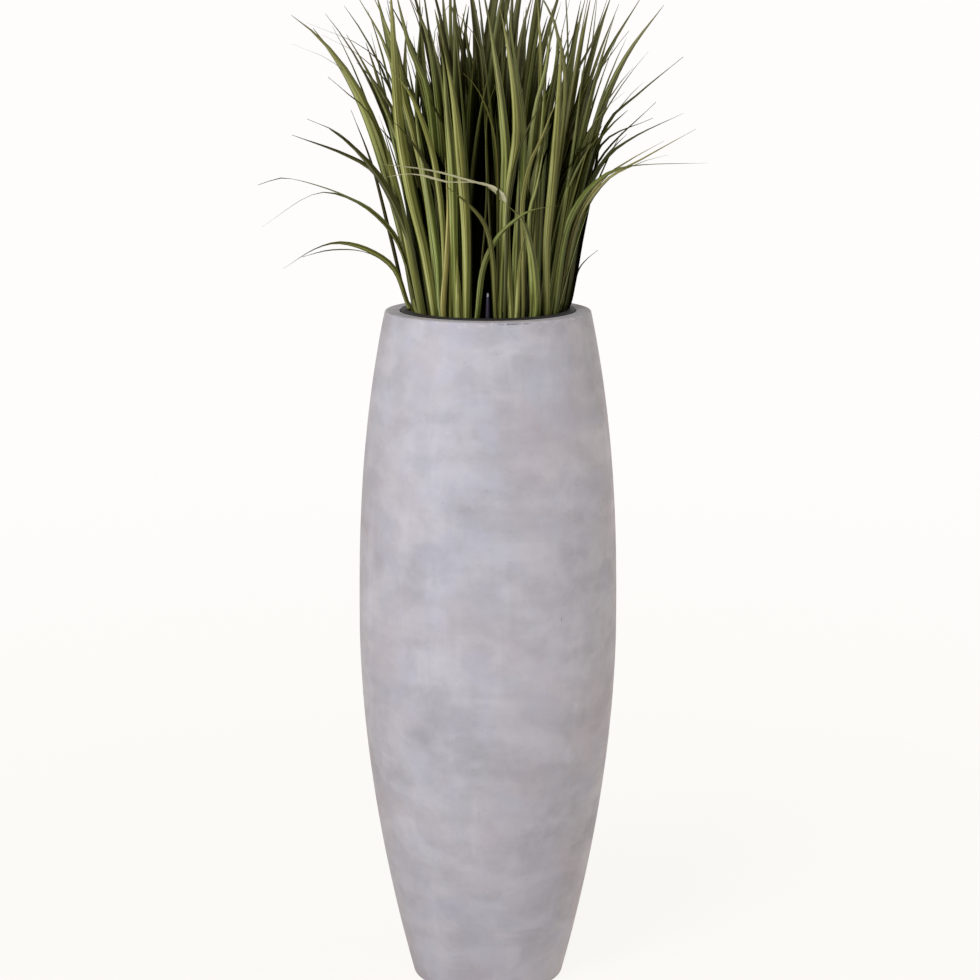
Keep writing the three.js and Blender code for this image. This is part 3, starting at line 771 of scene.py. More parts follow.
LOWER_BULGE = 1.84
UPPER_BULGE = 2.4
BASE_ROUNDING = 0.003
RIM_ROUNDING = 0.0035
MOUTH_ROUNDING = 0.0012
OUTER_WALL_STEPS = 150
INNER_WALL_STEPS = 40
LEDGE_DEPTH = 0.003
LEDGE_WIDTH = 0.008
COLLAR_DEPTH = 0.034
COLLAR_WALL = 0.005
LIP_THICKNESS = 0.009
LIP_FILLET = 0.03
FOOT_WIDTH = 0.026
FOOT_THICKNESS = 0.006
DRAIN_RADIUS = 0.012
PANEL_ROUNDING = 0.0008
BUNG_GAP = 0.0003
BUNG_NOSE = 0.003
BUNG_TAPER = 0.0012
BUNG_HEAD_RADIUS = 0.017
BUNG_HEAD_THICKNESS = 0.004
BUNG_DISH = 0.0028


def build_shell(shell):
    """The shell: stone finish outside, bare laminate on the faces inside below the lip."""
    mouth = shell.rim_radius - shell.lip_width
    collar = mouth - LEDGE_WIDTH
    ledge = shell.height - LEDGE_DEPTH
    under_lip = shell.height - LIP_THICKNESS
    foot_radius = shell.base_radius - FOOT_WIDTH
    corners = [
        (foot_radius, 0.0, 0.001),
        (shell.base_radius, 0.0, BASE_ROUNDING),
        *wall_curve(shell, 0.0, 0.006, shell.height - 0.008, OUTER_WALL_STEPS),
        (shell.rim_radius, shell.height, RIM_ROUNDING),
        (mouth, shell.height, MOUTH_ROUNDING),
        (mouth, ledge),
        (collar, ledge, 0.0006),
        (collar, ledge - COLLAR_DEPTH, 0.0015),
        (collar + COLLAR_WALL, ledge - COLLAR_DEPTH, 0.0015),
        (collar + COLLAR_WALL, under_lip, 0.002),
        (barrel_radius(shell, under_lip) - shell.wall - COLLAR_WALL, under_lip),
        *wall_curve(shell, shell.wall, under_lip - LIP_FILLET, FOOT_THICKNESS,
                    INNER_WALL_STEPS),
        (foot_radius, FOOT_THICKNESS, 0.001),
    ]
    stone = stone_material(shell)
    piece = turned("shell_body", corners, 192, stone, waviness=shell.waviness)
    piece.data.materials.append(laminate_material())
    for face in piece.data.polygons:
        radius = face.center.xy.length
        inner = radius < barrel_radius(shell, face.center.z) - shell.wall * 0.7
        if inner and face.center.z < under_lip:
            face.material_index = 1
    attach(piece, "planter")
    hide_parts("planter_shell")


def build_base():
    """The bottom panel with its drain hole, and the bung whose head is dished on top."""
    panel = turned("floor_panel", [
        (DRAIN_RADIUS, panel_low.z, PANEL_ROUNDING),
        (panel_high.x, panel_low.z, PANEL_ROUNDING),
        (panel_high.x, panel_high.z, PANEL_ROUNDING),
        (DRAIN_RADIUS, panel_high.z, PANEL_ROUNDING),
    ], 128, bpy.data.materials["raw_laminate"])
    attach(panel, "planter")
    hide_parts("bottom_panel")
    neck = DRAIN_RADIUS - BUNG_GAP
    head = panel_high.z + BUNG_GAP
    nose = panel_low.z - BUNG_NOSE
    head_top = head + BUNG_HEAD_THICKNESS
    rubber = moulded_material("black_rubber", srgb(30, 30, 32), 0.75)
    bung = turned("bung_stopper", [
        (0.0, nose), (neck - BUNG_TAPER, nose, 0.0006), (neck, head),
        (BUNG_HEAD_RADIUS, head, 0.0006), (BUNG_HEAD_RADIUS, head_top, 0.0012),
        (0.009, head_top, 0.0008), (0.0075, head + BUNG_DISH, 0.0008),
        (0.0, head + BUNG_DISH),
    ], 64, rubber)
    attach(bung, "bung")
    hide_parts("drain_bung")


# ---- insert -------------------------------------------------------------------------------

INSERT_WALL_GAP = 0.0015
FLANGE_GAP = 0.0008
SEAT_GAP = 0.0003
INSERT_FLOOR = 0.003
FOAM_TAPER = 0.023
FOAM_TAPER_HEIGHT = 0.232
FOAM_STEPS = 24


def insert_sizes(shell, insert):
    """Outer radius at the insert's top and at its floor, and its underside."""
    top = shell.rim_radius - shell.lip_width - LEDGE_WIDTH - INSERT_WALL_GAP
    return top, top - insert.taper, insert_low.z


def insert_bore(shell, insert, height):
    """Inner radius of the insert's tapered wall at a height."""
    top, floor, underside = insert_sizes(shell, insert)
    share = (height - underside) / (shell.height - LEDGE_DEPTH - underside)
    return floor + (top - floor) * share - insert.wall


def build_insert(shell, insert):
    """The insert, which hangs by its flange on the ledge in the mouth."""
    top, floor, underside = insert_sizes(shell, insert)
    flange = shell.rim_radius - shell.lip_width - FLANGE_GAP
    under_flange = shell.height - LEDGE_DEPTH + SEAT_GAP
    inner_floor = underside + INSERT_FLOOR
    bore = insert_bore(shell, insert, under_flange)
    plastic = moulded_material("dark_insert_plastic", tuple(insert.plastic), 0.62, 0.2)
    piece = turned("insert_liner", [
        (0.0, underside + 0.0008), (floor - 0.012, underside + 0.0008, 0.0005),
        (floor - 0.011, underside, 0.0005), (floor, underside, 0.003),
        (top, under_flange), (flange, under_flange, 0.0004),
        (flange, insert_high.z, 0.0016), (bore, insert_high.z, 0.0012),
        (insert_bore(shell, insert, inner_floor), inner_floor, 0.002), (0.0, inner_floor),
    ], 160, plastic)
    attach(piece, "insert")
    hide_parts("insert_pot")


# ---- foam, bark and stake -----------------------------------------------------------------


def build_filling():
    """The foam block, the bark with its loose chips, and the stake at the front."""
    foam_floor = foam_high.x - (foam_high.z - foam_low.z) * FOAM_TAPER / FOAM_TAPER_HEIGHT
    foam = turned("foam_core", [
        (0.0, foam_low.z), (foam_floor, foam_low.z, 0.002),
        *[(foam_floor + (foam_high.x - foam_floor) * step / FOAM_STEPS,
           foam_low.z + (foam_high.z - foam_low.z) * step / FOAM_STEPS)
          for step in range(1, FOAM_STEPS)],
        (foam_high.x, foam_high.z, 0.002), (0.07, foam_high.z), (0.035, foam_high.z),
        (0.0, foam_high.z),
    ], 96, foam_material(), waviness=0.0012, wave_scale=60.0, flatness=1.0)
    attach(foam, "bush")
    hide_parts("foam_block")
    bark = bark_material()
    layer = turned("bark_top", [
        (0.0, bark_low.z), (bark_high.x - 0.0012, bark_low.z, 0.001),
        (bark_high.x, bark_high.z, 0.002), (0.09, bark_high.z), (0.06, bark_high.z),
        (0.03, bark_high.z), (0.0, bark_high.z),
    ], 96, bark, waviness=0.002, wave_scale=90.0, flatness=1.0)
    layer = made("bark_cover", layer.data.copy(), tree_named("Bark chips", chips_tree), {
        "Reach": bark_high.x - 0.008, "Material": bark})
    bpy.data.objects.remove(bpy.data.objects["bark_top"])
    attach(layer, "bush")
    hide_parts("bark_layer")
    radius = stake_high.x
    centre = (stake_low.y + stake_high.y) / 2
    stake = turned("stake_stub", [
        (0.0, stake_low.z), (0.0012, stake_low.z, 0.0004),
        (radius, stake_low.z + 0.008, 0.002), (radius, 1.0, 0.004),
        (0.0026, 1.022, 0.003), (0.0014, STAKE_TOP - 0.0012, 0.0006),
        (0.0009, STAKE_TOP, 0.0004), (0.0, STAKE_TOP),
    ], 32, stake_material())
    stake.data.transform(Matrix.Translation((0.0, centre, 0.0)))
    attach(stake, "bush")
    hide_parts("anchor_stake")


# ---- grass --------------------------------------------------------------------------------

ROOT_HEIGHT = 0.9713
CROWN_TOP = 0.9813
CROWN_UNDERSIDE = 0.9643
RIM_HEIGHT = 1.004
OUTER_BUNCHES = 8
INNER_BUNCHES = 4
OUTER_RING = 0.0786
INNER_RING = 0.029
OUTER_CROWN = 0.0259
INNER_CROWN = 0.0202
STEM_RADIUS = 0.0045
STEM_FOOT = 0.8777
STRAIGHT_RUN = 0.034
RIM_ROW = 316
FIRST_OUTER_TURN = -67.5
OUTER_TURN = 45
FIRST_INNER_TURN = -90
INNER_TURN = 90
ARCHING_BLADES = 6
BACK_SINE = 0.9
DRAWN_STEPS = 22
GROWN_STEPS = 14
FINE_STEPS = 6
PATH_STEPS = 24
TIP_WIDTH = 0.0007
ROOT_MARGIN = 0.004
BOX_MARGIN = 0.004
FRONT_LIMIT = 0.078
FRONT_SLOPE = 0.13
CLEFT = (-0.028, -0.002)
GOLDEN_ANGLE = math.pi * (3 - math.sqrt(5))
REACH_LIMIT = cad_box[1].x - 0.001
TOP_LIMIT = cad_box[1].z - 0.001


class Drawn(NamedTuple):
    """A blade that the photograph shows clearly, given by the pixels that its rib crosses."""
    rim_column: int
    ring: float
    path: tuple
    width: float
    tint: float = 0.5
    # Painted shade, which darkens the blade towards black.
    shade: float = 0.0
    forward: float = 0.05
    twist: float = 0.0
    peak: float = 0.35
    front: bool = True


DRAWN_BLADES = {
    "left_fan": Drawn(
        415, 0.104, ((405, 250), (388, 182), (368, 120), (345, 73), (313, 28)), 0.0155, 0.78,
        peak=0.55),
    "left_dark_edge": Drawn(
        408, 0.107, ((390, 235), (372, 165), (351, 110)), 0.006, 0.1, 0.55, 0.02),
    "left_tall": Drawn(
        434, 0.104, ((424, 250), (410, 192), (399, 125), (394, 50), (390, -20)), 0.0145, 0.7,
        forward=0.08, peak=0.5),
    "straw_left": Drawn(
        443, 0.106, ((447, 250), (448, 205), (445, 158)), 0.0088, 0.88, forward=0.04,
        twist=-15, peak=0.2),
    "left_middle": Drawn(
        441, 0.1, ((437, 260), (431, 215), (421, 150), (413, 95)), 0.0125, 0.6, 0.05),
    "left_olive": Drawn(
        451, 0.103, ((453, 230), (450, 150), (437, 46)), 0.008, 0.45, 0.15, 0.04, 20),
    "short_point": Drawn(
        459, 0.106, ((458, 285), (457, 254)), 0.0115, 0.7, forward=0.015, peak=0.05),
    "gap_left": Drawn(
        466, 0.105, ((466, 235), (461, 165), (454, 100), (444, 50)), 0.0135, 0.76,
        forward=0.11, peak=0.55),
    "gap_dark": Drawn(
        471, 0.1, ((470, 220), (464, 120), (453, 6)), 0.006, 0.3, 0.55, 0.07, 30),
    "crossing": Drawn(
        477, 0.106, ((483, 269), (496, 240), (513, 222), (533, 210), (566, 205)), 0.0085, 0.55,
        0.1, 0.1, -10, 0.25),
    "drooping_left": Drawn(
        496, 0.103, ((493, 262), (486, 227), (469, 205), (447, 187)), 0.0085, 0.4, 0.2, 0.11,
        15),
    "gap_right": Drawn(502, 0.1, ((500, 220), (492, 120), (480, 20)), 0.006, 0.3, 0.8, 0.06),
    "right_bright": Drawn(
        511, 0.106, ((507, 250), (507, 205), (513, 165), (517, 130), (514, 85), (507, 40),
                     (500, 8)), 0.0125, 0.76, forward=0.09, peak=0.55),
    "right_pale": Drawn(
        514, 0.1, ((516, 260), (518, 215), (519, 170)), 0.011, 0.72, 0.1, peak=0.5),
    "right_straw_point": Drawn(
        517, 0.107, ((520, 262), (526, 228)), 0.007, 0.86, forward=0.04, peak=0.2),
    "right_slim": Drawn(
        523, 0.102, ((527, 240), (540, 150), (549, 20)), 0.0075, 0.5, 0.12, 0.05, -20),
    "right_wide_bend": Drawn(
        535, 0.106, ((533, 262), (523, 222), (508, 206)), 0.016, 0.72, forward=0.075, peak=0.12),
    "right_tall": Drawn(
        547, 0.104, ((547, 245), (553, 180), (558, 118), (562, 30)), 0.0135, 0.76,
        forward=0.09, peak=0.5),
    "long_right": Drawn(
        555, 0.105, ((563, 246), (575, 210), (598, 181), (632, 166), (708, 163)), 0.011, 0.68,
        0.0, 0.04, -10, 0.2),
    "right_dark_wide": Drawn(
        561, 0.104, ((572, 238), (588, 165), (604, 105), (628, 54), (664, 5)), 0.014, 0.38,
        0.18, 0.04, -10, 0.5),
    # A blade in shadow, painted near black by its tint and painted shade.
    "right_black_edge": Drawn(
        568, 0.1, ((581, 238), (593, 180), (602, 130)), 0.009, 0.05, 0.93, -0.01, front=False),
    "left_thin_tall": Drawn(
        447, 0.088, ((445, 200), (437, 100), (427, 36), (411, 0)), 0.009, 0.3, 0.25, 0.09,
        peak=0.5),
    "middle_dark": Drawn(
        462, 0.086, ((461, 180), (455, 65), (453, 6)), 0.009, 0.15, 0.5, 0.04, 15, 0.5),
    "left_olive_tall": Drawn(
        440, 0.09, ((438, 200), (428, 95), (410, 48), (394, -15)), 0.012, 0.42, 0.1, 0.09,
        -10, 0.5),
    "left_green_tall": Drawn(
        428, 0.092, ((415, 200), (401, 110), (386, 48), (355, -8)), 0.009, 0.5, 0.12, 0.06, 10),
    "far_left_a": Drawn(
        425, 0.08, ((409, 180), (394, 88), (364, 48), (307, 23)), 0.0065, 0.25, 0.35, 0.03, 20,
        front=False),
    "far_left_b": Drawn(
        424, 0.086, ((408, 190), (394, 98), (360, 56), (322, 35)), 0.0055, 0.2, 0.4, -0.01, 10,
        front=False),
    "far_left_c": Drawn(
        417, 0.088, ((392, 190), (364, 100), (334, 63), (292, 44)), 0.005, 0.25, 0.2, 0.06, 30,
        front=False),
    "far_left_d": Drawn(
        416, 0.092, ((396, 200), (372, 120), (343, 90), (328, 77)), 0.0065, 0.35, 0.2, 0.09, 10),
    "far_left_e": Drawn(
        415, 0.094, ((398, 220), (370, 166), (339, 134), (307, 119)), 0.006, 0.2, 0.25, 0.07,
        20),
    "far_left_f": Drawn(
        417, 0.09, ((402, 222), (378, 176), (346, 155), (292, 135)), 0.008, 0.15, 0.3, 0.07,
        25, 0.45),
    "long_left": Drawn(
        418, 0.098, ((401, 246), (375, 213), (345, 196), (312, 184), (283, 178), (258, 185)),
        0.007, 0.55, 0.15, 0.07, 25, front=False),
    "long_left_faint": Drawn(
        416, 0.099, ((400, 248), (374, 214), (340, 195), (309, 196), (262, 227)), 0.0046, 0.4,
        0.2, 0.03, 20),
    "low_left": Drawn(
        409, 0.107, ((395, 270), (370, 251), (340, 243), (313, 250), (283, 269)), 0.008, 0.62,
        0.0, 0.06, 35, 0.4),
    "low_left_pale": Drawn(
        409, 0.106, ((396, 273), (368, 253), (332, 250), (302, 257)), 0.005, 0.4, 0.1, 0.02,
        30, front=False),
    # Two pale strands: pale straw, brightened to near white as a painted highlight where they
    # bend.
    "pale_level": Drawn(
        508, 0.07, ((507, 218), (504, 197), (490, 186), (470, 182), (446, 182), (414, 174),
                     (387, 177)), 0.0068, 1.0, 0.12, 0.16, -20, 0.8),
    "pale_level_thin": Drawn(
        507, 0.068, ((506, 218), (494, 190), (466, 180), (437, 172), (407, 167), (378, 164)),
        0.0056, 0.98, 0.15, 0.15, -20, 0.8),
    "far_right_a": Drawn(
        566, 0.096, ((581, 215), (602, 164), (633, 138), (684, 113)), 0.009, 0.12, 0.35, 0.07,
        -10, 0.5),
    "far_right_b": Drawn(
        566, 0.096, ((584, 205), (602, 144), (653, 118)), 0.006, 0.2, 0.35, 0.03, front=False),
    "far_right_c": Drawn(
        565, 0.096, ((584, 205), (603, 155), (656, 102)), 0.005, 0.25, 0.35, -0.02, front=False),
    "far_right_d": Drawn(
        566, 0.094, ((585, 195), (606, 126), (637, 95), (683, 57)), 0.006, 0.2, 0.35, 0.04,
        front=False),
    "straw_right_a": Drawn(
        560, 0.103, ((575, 228), (600, 183), (627, 162), (664, 141)), 0.0065, 0.88, 0.0, 0.08,
        -15, 0.5),
    "straw_right_b": Drawn(
        562, 0.102, ((578, 228), (605, 182), (646, 157), (696, 129)), 0.0055, 0.87, 0.0, 0.06,
        -20, 0.5),
    "straw_right_c": Drawn(
        561, 0.103, ((577, 228), (603, 184), (640, 163), (668, 155)), 0.0055, 0.9, 0.0, 0.09,
        -15, 0.5),
    "stray_right": Drawn(
        569, 0.1, ((577, 274), (585, 261), (598, 250)), 0.0032, 0.35, 0.3, 0.0, front=False),
    "top_right_a": Drawn(
        558, 0.084, ((577, 180), (591, 95), (608, 52), (642, -4)), 0.009, 0.25, 0.35, -0.02,
        peak=0.5, front=False),
    "top_right_b": Drawn(
        560, 0.086, ((572, 190), (584, 108), (598, 58), (619, 4)), 0.0105, 0.22, 0.3, 0.06,
        peak=0.5),
    "top_right_c": Drawn(
        552, 0.08, ((562, 180), (571, 88), (592, 44), (608, -3)), 0.009, 0.2, 0.35, 0.03,
        peak=0.5),
    "top_right_d": Drawn(
        549, 0.086, ((559, 180), (569, 90), (577, 35), (587, -8)), 0.012, 0.3, 0.2, 0.07,
        peak=0.5),
    "top_right_e": Drawn(
        562, 0.09, ((578, 180), (592, 90), (612, 53), (629, 31)), 0.005, 0.2, 0.35, -0.01,
        front=False),
    "top_right_f": Drawn(
        543, 0.088, ((556, 180), (566, 85), (555, 25), (538, -8)), 0.0095, 0.35, 0.15, 0.1,
        peak=0.5),
    "top_right_g": Drawn(
        526, 0.084, ((525, 180), (518, 75), (524, 25), (535, -12)), 0.012, 0.1, 0.5, 0.05,
        peak=0.55),
    "middle_bright_a": Drawn(
        500, 0.1, ((503, 240), (505, 190), (506, 150), (501, 96), (494, 50), (487, 8)), 0.0135,
        0.72, forward=0.095, peak=0.5),
    "middle_bright_b": Drawn(
        515, 0.092, ((522, 200), (524, 130), (519, 85), (513, 45), (509, 6)), 0.0085, 0.68,
        forward=0.095, peak=0.5),
    "middle_bright_c": Drawn(
        520, 0.09, ((527, 200), (532, 140), (537, 104), (545, 74), (550, 40), (552, 8)), 0.01,
        0.6, forward=0.08, peak=0.5),
    "middle_dark_bend": Drawn(
        505, 0.106, ((508, 215), (513, 176), (520, 148), (530, 124), (544, 99)), 0.0065, 0.2,
        0.4, 0.12, peak=0.5),
    "middle_pale_bend": Drawn(
        523, 0.103, ((523, 240), (523, 200), (531, 162), (542, 138), (552, 112), (561, 94)),
        0.0068, 0.8, forward=0.1, peak=0.5),
    "middle_pale_slim": Drawn(
        531, 0.104, ((529, 230), (531, 206), (536, 190), (541, 165), (545, 140)), 0.006, 0.78,
        forward=0.1, peak=0.5),
    "middle_light_tall": Drawn(
        532, 0.092, ((535, 200), (539, 130), (541, 60), (539, 20), (537, -10)), 0.0085, 0.74,
        forward=0.08, peak=0.55),
    "middle_olive_tall": Drawn(
        537, 0.09, ((541, 200), (547, 120), (556, 70), (558, 34), (550, 12), (541, -6)), 0.0105,
        0.56, forward=0.075, peak=0.5),
    "gap_grey": Drawn(
        498, 0.098, ((498, 200), (497, 160), (493, 128), (484, 102), (474, 84), (463, 73)),
        0.0045, 0.74, 0.78, 0.1, peak=0.5),
    "gap_grey_slim": Drawn(
        480, 0.1, ((482, 262), (485, 228), (487, 185), (486, 145), (488, 108), (496, 84)),
        0.0032, 0.66, 0.78, 0.08, peak=0.5),
    "gap_thin_top": Drawn(
        494, 0.08, ((489, 200), (485, 110), (480, 48), (468, 27), (455, 11)), 0.004, 0.2, 0.4,
        0.05, peak=0.5),
    "left_thin_arc": Drawn(
        441, 0.088, ((437, 150), (434, 60), (434, 38), (438, 22), (450, 4)), 0.0028, 0.25, 0.3,
        0.05, peak=0.5),
    "left_fold": Drawn(
        446, 0.096, ((443, 230), (436, 170), (425, 128), (409, 92), (392, 70)), 0.0085, 0.7,
        forward=0.1, peak=0.6),
    "left_light_tall": Drawn(
        437, 0.098, ((431, 230), (422, 170), (411, 125), (403, 96), (398, 60), (384, 20),
                     (372, -6)), 0.0095, 0.66, forward=0.08, peak=0.5),
    "left_point": Drawn(
        456, 0.1, ((454, 240), (452, 170), (447, 110), (444, 70), (441, 52)), 0.0125, 0.72,
        forward=0.09, peak=0.55),
    "left_behind": Drawn(
        447, 0.088, ((448, 280), (449, 240), (447, 200)), 0.013, 0.3, 0.5, 0.0, peak=0.5),
}


def photo_point(pixel, y):
    """The point that a pixel of the photograph shows, at the given y."""
    right = (pixel[0] - PHOTO_SIZE / 2) / PHOTO_FOCUS
    up = (PHOTO_SIZE / 2 - pixel[1]) / PHOTO_FOCUS
    ray = Vector((
        right, math.cos(CAMERA_PITCH) + up * math.sin(CAMERA_PITCH),
        up * math.cos(CAMERA_PITCH) - math.sin(CAMERA_PITCH)))
    return CAMERA_PLACE + ray * ((y - CAMERA_PLACE.y) / ray.y)


def rim_point(blade):
    """Where a drawn blade passes the rim: on its ring, in its column of pixels."""
    x, y = 0.0, -blade.ring if blade.front else blade.ring
    drop = (CAMERA_PLACE.z - RIM_HEIGHT) * math.sin(CAMERA_PITCH)
    for _ in range(4):
        distance = (y - CAMERA_PLACE.y) * math.cos(CAMERA_PITCH) + drop
        x = CAMERA_PLACE.x + (blade.rim_column - PHOTO_SIZE / 2) / PHOTO_FOCUS * distance
        y = math.copysign(math.sqrt(max(0.0, blade.ring ** 2 - x ** 2)), y)
    return Vector((x, y, RIM_HEIGHT))


def smooth_path(knots, steps):
    """A smooth path through the knots, with equal steps."""
    ends = [2 * knots[0] - knots[1], *knots, 2 * knots[-1] - knots[-2]]
    fine = []
    for before, first, second, after in zip(ends, ends[1:], ends[2:], ends[3:]):
        for index in range(PATH_STEPS):
            t = index / PATH_STEPS
            fine.append(0.5 * (
                2 * first + (second - before) * t
                + (2 * before - 5 * first + 4 * second - after) * t ** 2
                + (3 * first - before - 3 * second + after) * t ** 3))
    fine.append(knots[-1])
    lengths = [0.0]
    for start, stop in zip(fine, fine[1:]):
        lengths.append(lengths[-1] + (stop - start).length)
    points, place = [], 0
    for index in range(steps + 1):
        goal = lengths[-1] * index / steps
        while place < len(lengths) - 2 and lengths[place + 1] < goal:
            place += 1
        span = lengths[place + 1] - lengths[place] or 1.0
        points.append(fine[place].lerp(fine[place + 1], min(1.0, (goal - lengths[place]) / span)))
    return points


def bunch_azimuth(index):
    return math.radians(FIRST_OUTER_TURN + OUTER_TURN * index)


def drawn_blade(drawn):
    """The index of the bunch that a drawn blade grows from, and the blade."""
    rim = rim_point(drawn)
    turn = math.atan2(rim.y, rim.x) - bunch_azimuth(0)
    index = round(turn / math.radians(OUTER_TURN)) % OUTER_BUNCHES
    azimuth = bunch_azimuth(index)
    crown = Vector((math.cos(azimuth), math.sin(azimuth), 0.0)) * OUTER_RING
    offset = Vector((rim.x, rim.y, 0.0)) - crown
    reach = OUTER_CROWN - ROOT_MARGIN
    if offset.length > reach:
        offset = offset.normalized() * reach
    root = crown + offset
    root.z = ROOT_HEIGHT
    lengths = [0.0]
    pixels = [Vector((drawn.rim_column, RIM_ROW)), *map(Vector, drawn.path)]
    for start, stop in zip(pixels, pixels[1:]):
        lengths.append(lengths[-1] + (stop - start).length)
    knots = [root, rim]
    for pixel, length in zip(pixels[1:], lengths[1:]):
        share = length / lengths[-1]
        knots.append(photo_point(pixel, rim.y - drawn.forward * share ** 1.2))
    towards = -math.pi / 2 if drawn.front else math.pi / 2
    return index, {
        "points": smooth_path(knots, DRAWN_STEPS), "width": drawn.width, "tint": drawn.tint,
        "shade": drawn.shade, "facing": towards * 0.7 + math.atan2(rim.y, rim.x) * 0.3,
        "twist": math.radians(drawn.twist), "curl": 0.3, "peak": drawn.peak,
    }


def grown_rib(blade, steps):
    """Mid-rib that rises at its lean until it is clear of the rim, then bends further."""
    fine = steps * FINE_STEPS
    place = Vector((
        blade["radius"] * math.cos(blade["azimuth"]),
        blade["radius"] * math.sin(blade["azimuth"]), ROOT_HEIGHT))
    outward = Vector((math.cos(blade["azimuth"]), math.sin(blade["azimuth"]), 0.0))
    heading = Matrix.Rotation(blade["swing"], 3, "Z") @ outward
    lean = Matrix.Rotation(math.radians(blade["lean"]), 3, Vector((0, 0, 1)).cross(outward))
    rise = lean @ Vector((0, 0, 1))
    straight = STRAIGHT_RUN / blade["length"]
    points = []
    for index in range(fine + 1):
        if index % FINE_STEPS == 0:
            points.append(place.copy())
        free = max(0.0, (index / fine - straight) / (1 - straight))
        bend = math.radians(blade["bend"]) * free ** blade["stiffness"]
        bent = Matrix.Rotation(bend, 3, Vector((0, 0, 1)).cross(heading)) @ rise
        place += bent * blade["length"] / fine
    return points


def blade_width(share, widest, peak):
    """Width at a share of the length: widest at the peak, then down to a fine tip."""
    if share < peak:
        return widest * (0.66 + 0.34 * share / peak)
    return max(TIP_WIDTH, widest * (1 - ((share - peak) / (1 - peak)) ** 2.0))


def ribs_mesh(name, blades):
    """Poly-lines of the blades' ribs, with the attributes that the sweep and finish read."""
    vertices, edges = [], []
    values = {"half_width": [], "along": [], "tint": [], "shade": [], "side": []}
    for blade in blades:
        points = blade["points"]
        last = len(points) - 1
        start = len(vertices)
        outward = Vector((math.cos(blade["facing"]), math.sin(blade["facing"]), 0.0))
        for index, point in enumerate(points):
            share = index / last
            before = (point - points[index - 1]).normalized() if index else Vector()
            after = (points[index + 1] - point).normalized() if index < last else Vector()
            tangent = (before + after).normalized()
            side = Vector((0, 0, 1)).cross(outward)
            side = (side - tangent * side.dot(tangent)).normalized()
            turn = blade["twist"] + blade["curl"] * share
            side = Matrix.Rotation(turn, 3, tangent) @ side
            vertices.append(point)
            values["half_width"].append(blade_width(share, blade["width"], blade["peak"]) / 2)
            values["along"].append(share)
            values["tint"].append(blade["tint"])
            # The blade's painted shade, which the grass material reads.
            values["shade"].append(blade["shade"])
            values["side"].append(side)
        edges += [(start + i, start + i + 1) for i in range(last)]
    mesh = bpy.data.meshes.new(name + "_ribs")
    mesh.from_pydata(vertices, edges, [])
    for key, numbers in values.items():
        if key == "side":
            layer = mesh.attributes.new(key, "FLOAT_VECTOR", "POINT")
            layer.data.foreach_set("vector", [c for vector in numbers for c in vector])
        else:
            layer = mesh.attributes.new(key, "FLOAT", "POINT")
            layer.data.foreach_set("value", numbers)
    return mesh


def kept_inside(points):
    """Draws a rib in to the reach and height of the solids' box."""
    for point in points:
        reach = max(abs(point.x), abs(point.y)) + BOX_MARGIN
        if reach > REACH_LIMIT:
            point.xy *= REACH_LIMIT / reach
        point.z = min(point.z, TOP_LIMIT)
    return points


def held_back(points):
    """Keeps a rib behind the drawn blades, which lean out at the front."""
    for point in points:
        front = -FRONT_LIMIT - ROOT_MARGIN - FRONT_SLOPE * (point.z - RIM_HEIGHT)
        if point.y < front:
            point.y = front + 0.2 * (point.y - front)
    return points


def crown_place(ring, crown_radius, azimuth, index, count):
    """Radius and azimuth of one of the roots that are spread evenly over a crown."""
    spread = crown_radius * math.sqrt((index + 0.5) / count)
    turn = index * GOLDEN_ANGLE
    x = ring + spread * math.cos(turn)
    y = spread * math.sin(turn)
    return math.hypot(x, y), azimuth + math.atan2(y, x)


def held(value):
    """A value held between 0 and 1."""
    return min(1.0, max(0.0, value))


def outer_blade(dice, azimuth, index, grass):
    """An upright blade of an outer bunch. Those with outer roots lean further out."""
    radius, root = crown_place(
        OUTER_RING, OUTER_CROWN - 0.006, azimuth, index, grass.outer_blades)
    outward = (radius - OUTER_RING + OUTER_CROWN) / (2 * OUTER_CROWN)
    share = held(outward + dice.uniform(-0.25, 0.2))
    bowed = dice.random() < 0.22
    return {
        "radius": radius, "azimuth": root, "swing": dice.gauss(0, 0.5 if bowed else 1.1),
        "lean": 3 + 11 * share * dice.uniform(0.6, 1.1),
        "bend": dice.uniform(24, 55) if bowed else dice.uniform(4, 22),
        "stiffness": dice.uniform(1.5, 2.6),
        "length": grass.outer_length * (0.59 + 0.41 * dice.random() ** 1.7),
        "width": grass.blade_width * dice.uniform(0.5, 1.0), "peak": dice.uniform(0.45, 0.7),
        "tint": min(0.9, held(dice.gauss(0.48, 0.26))),
        # Painted shade: blades rooted further in are darkened more.
        "shade": held(1.0 - 1.1 * share + dice.uniform(-0.15, 0.25)),
        "facing": root, "twist": dice.gauss(0, 0.5), "curl": dice.gauss(0, 0.5),
    }


def arching_blade(dice, azimuth, grass):
    """A slim blade that arches out over the rim."""
    root = azimuth + dice.uniform(-0.2, 0.2)
    length = dice.uniform(0.25, 0.385)
    return {
        "radius": OUTER_RING + dice.uniform(-0.004, 0.016), "azimuth": root,
        "swing": dice.uniform(-0.5, 0.5), "lean": dice.uniform(10, 15),
        "bend": dice.uniform(58, 100) * (0.3 / length) ** 0.35,
        "stiffness": dice.uniform(0.9, 1.5), "length": length,
        "width": grass.blade_width * dice.uniform(0.28, 0.55), "peak": 0.35,
        "tint": dice.uniform(0.15, 0.9), "shade": dice.uniform(0.0, 0.25),
        "facing": root, "twist": dice.gauss(0, 0.3), "curl": dice.gauss(0, 0.6),
    }


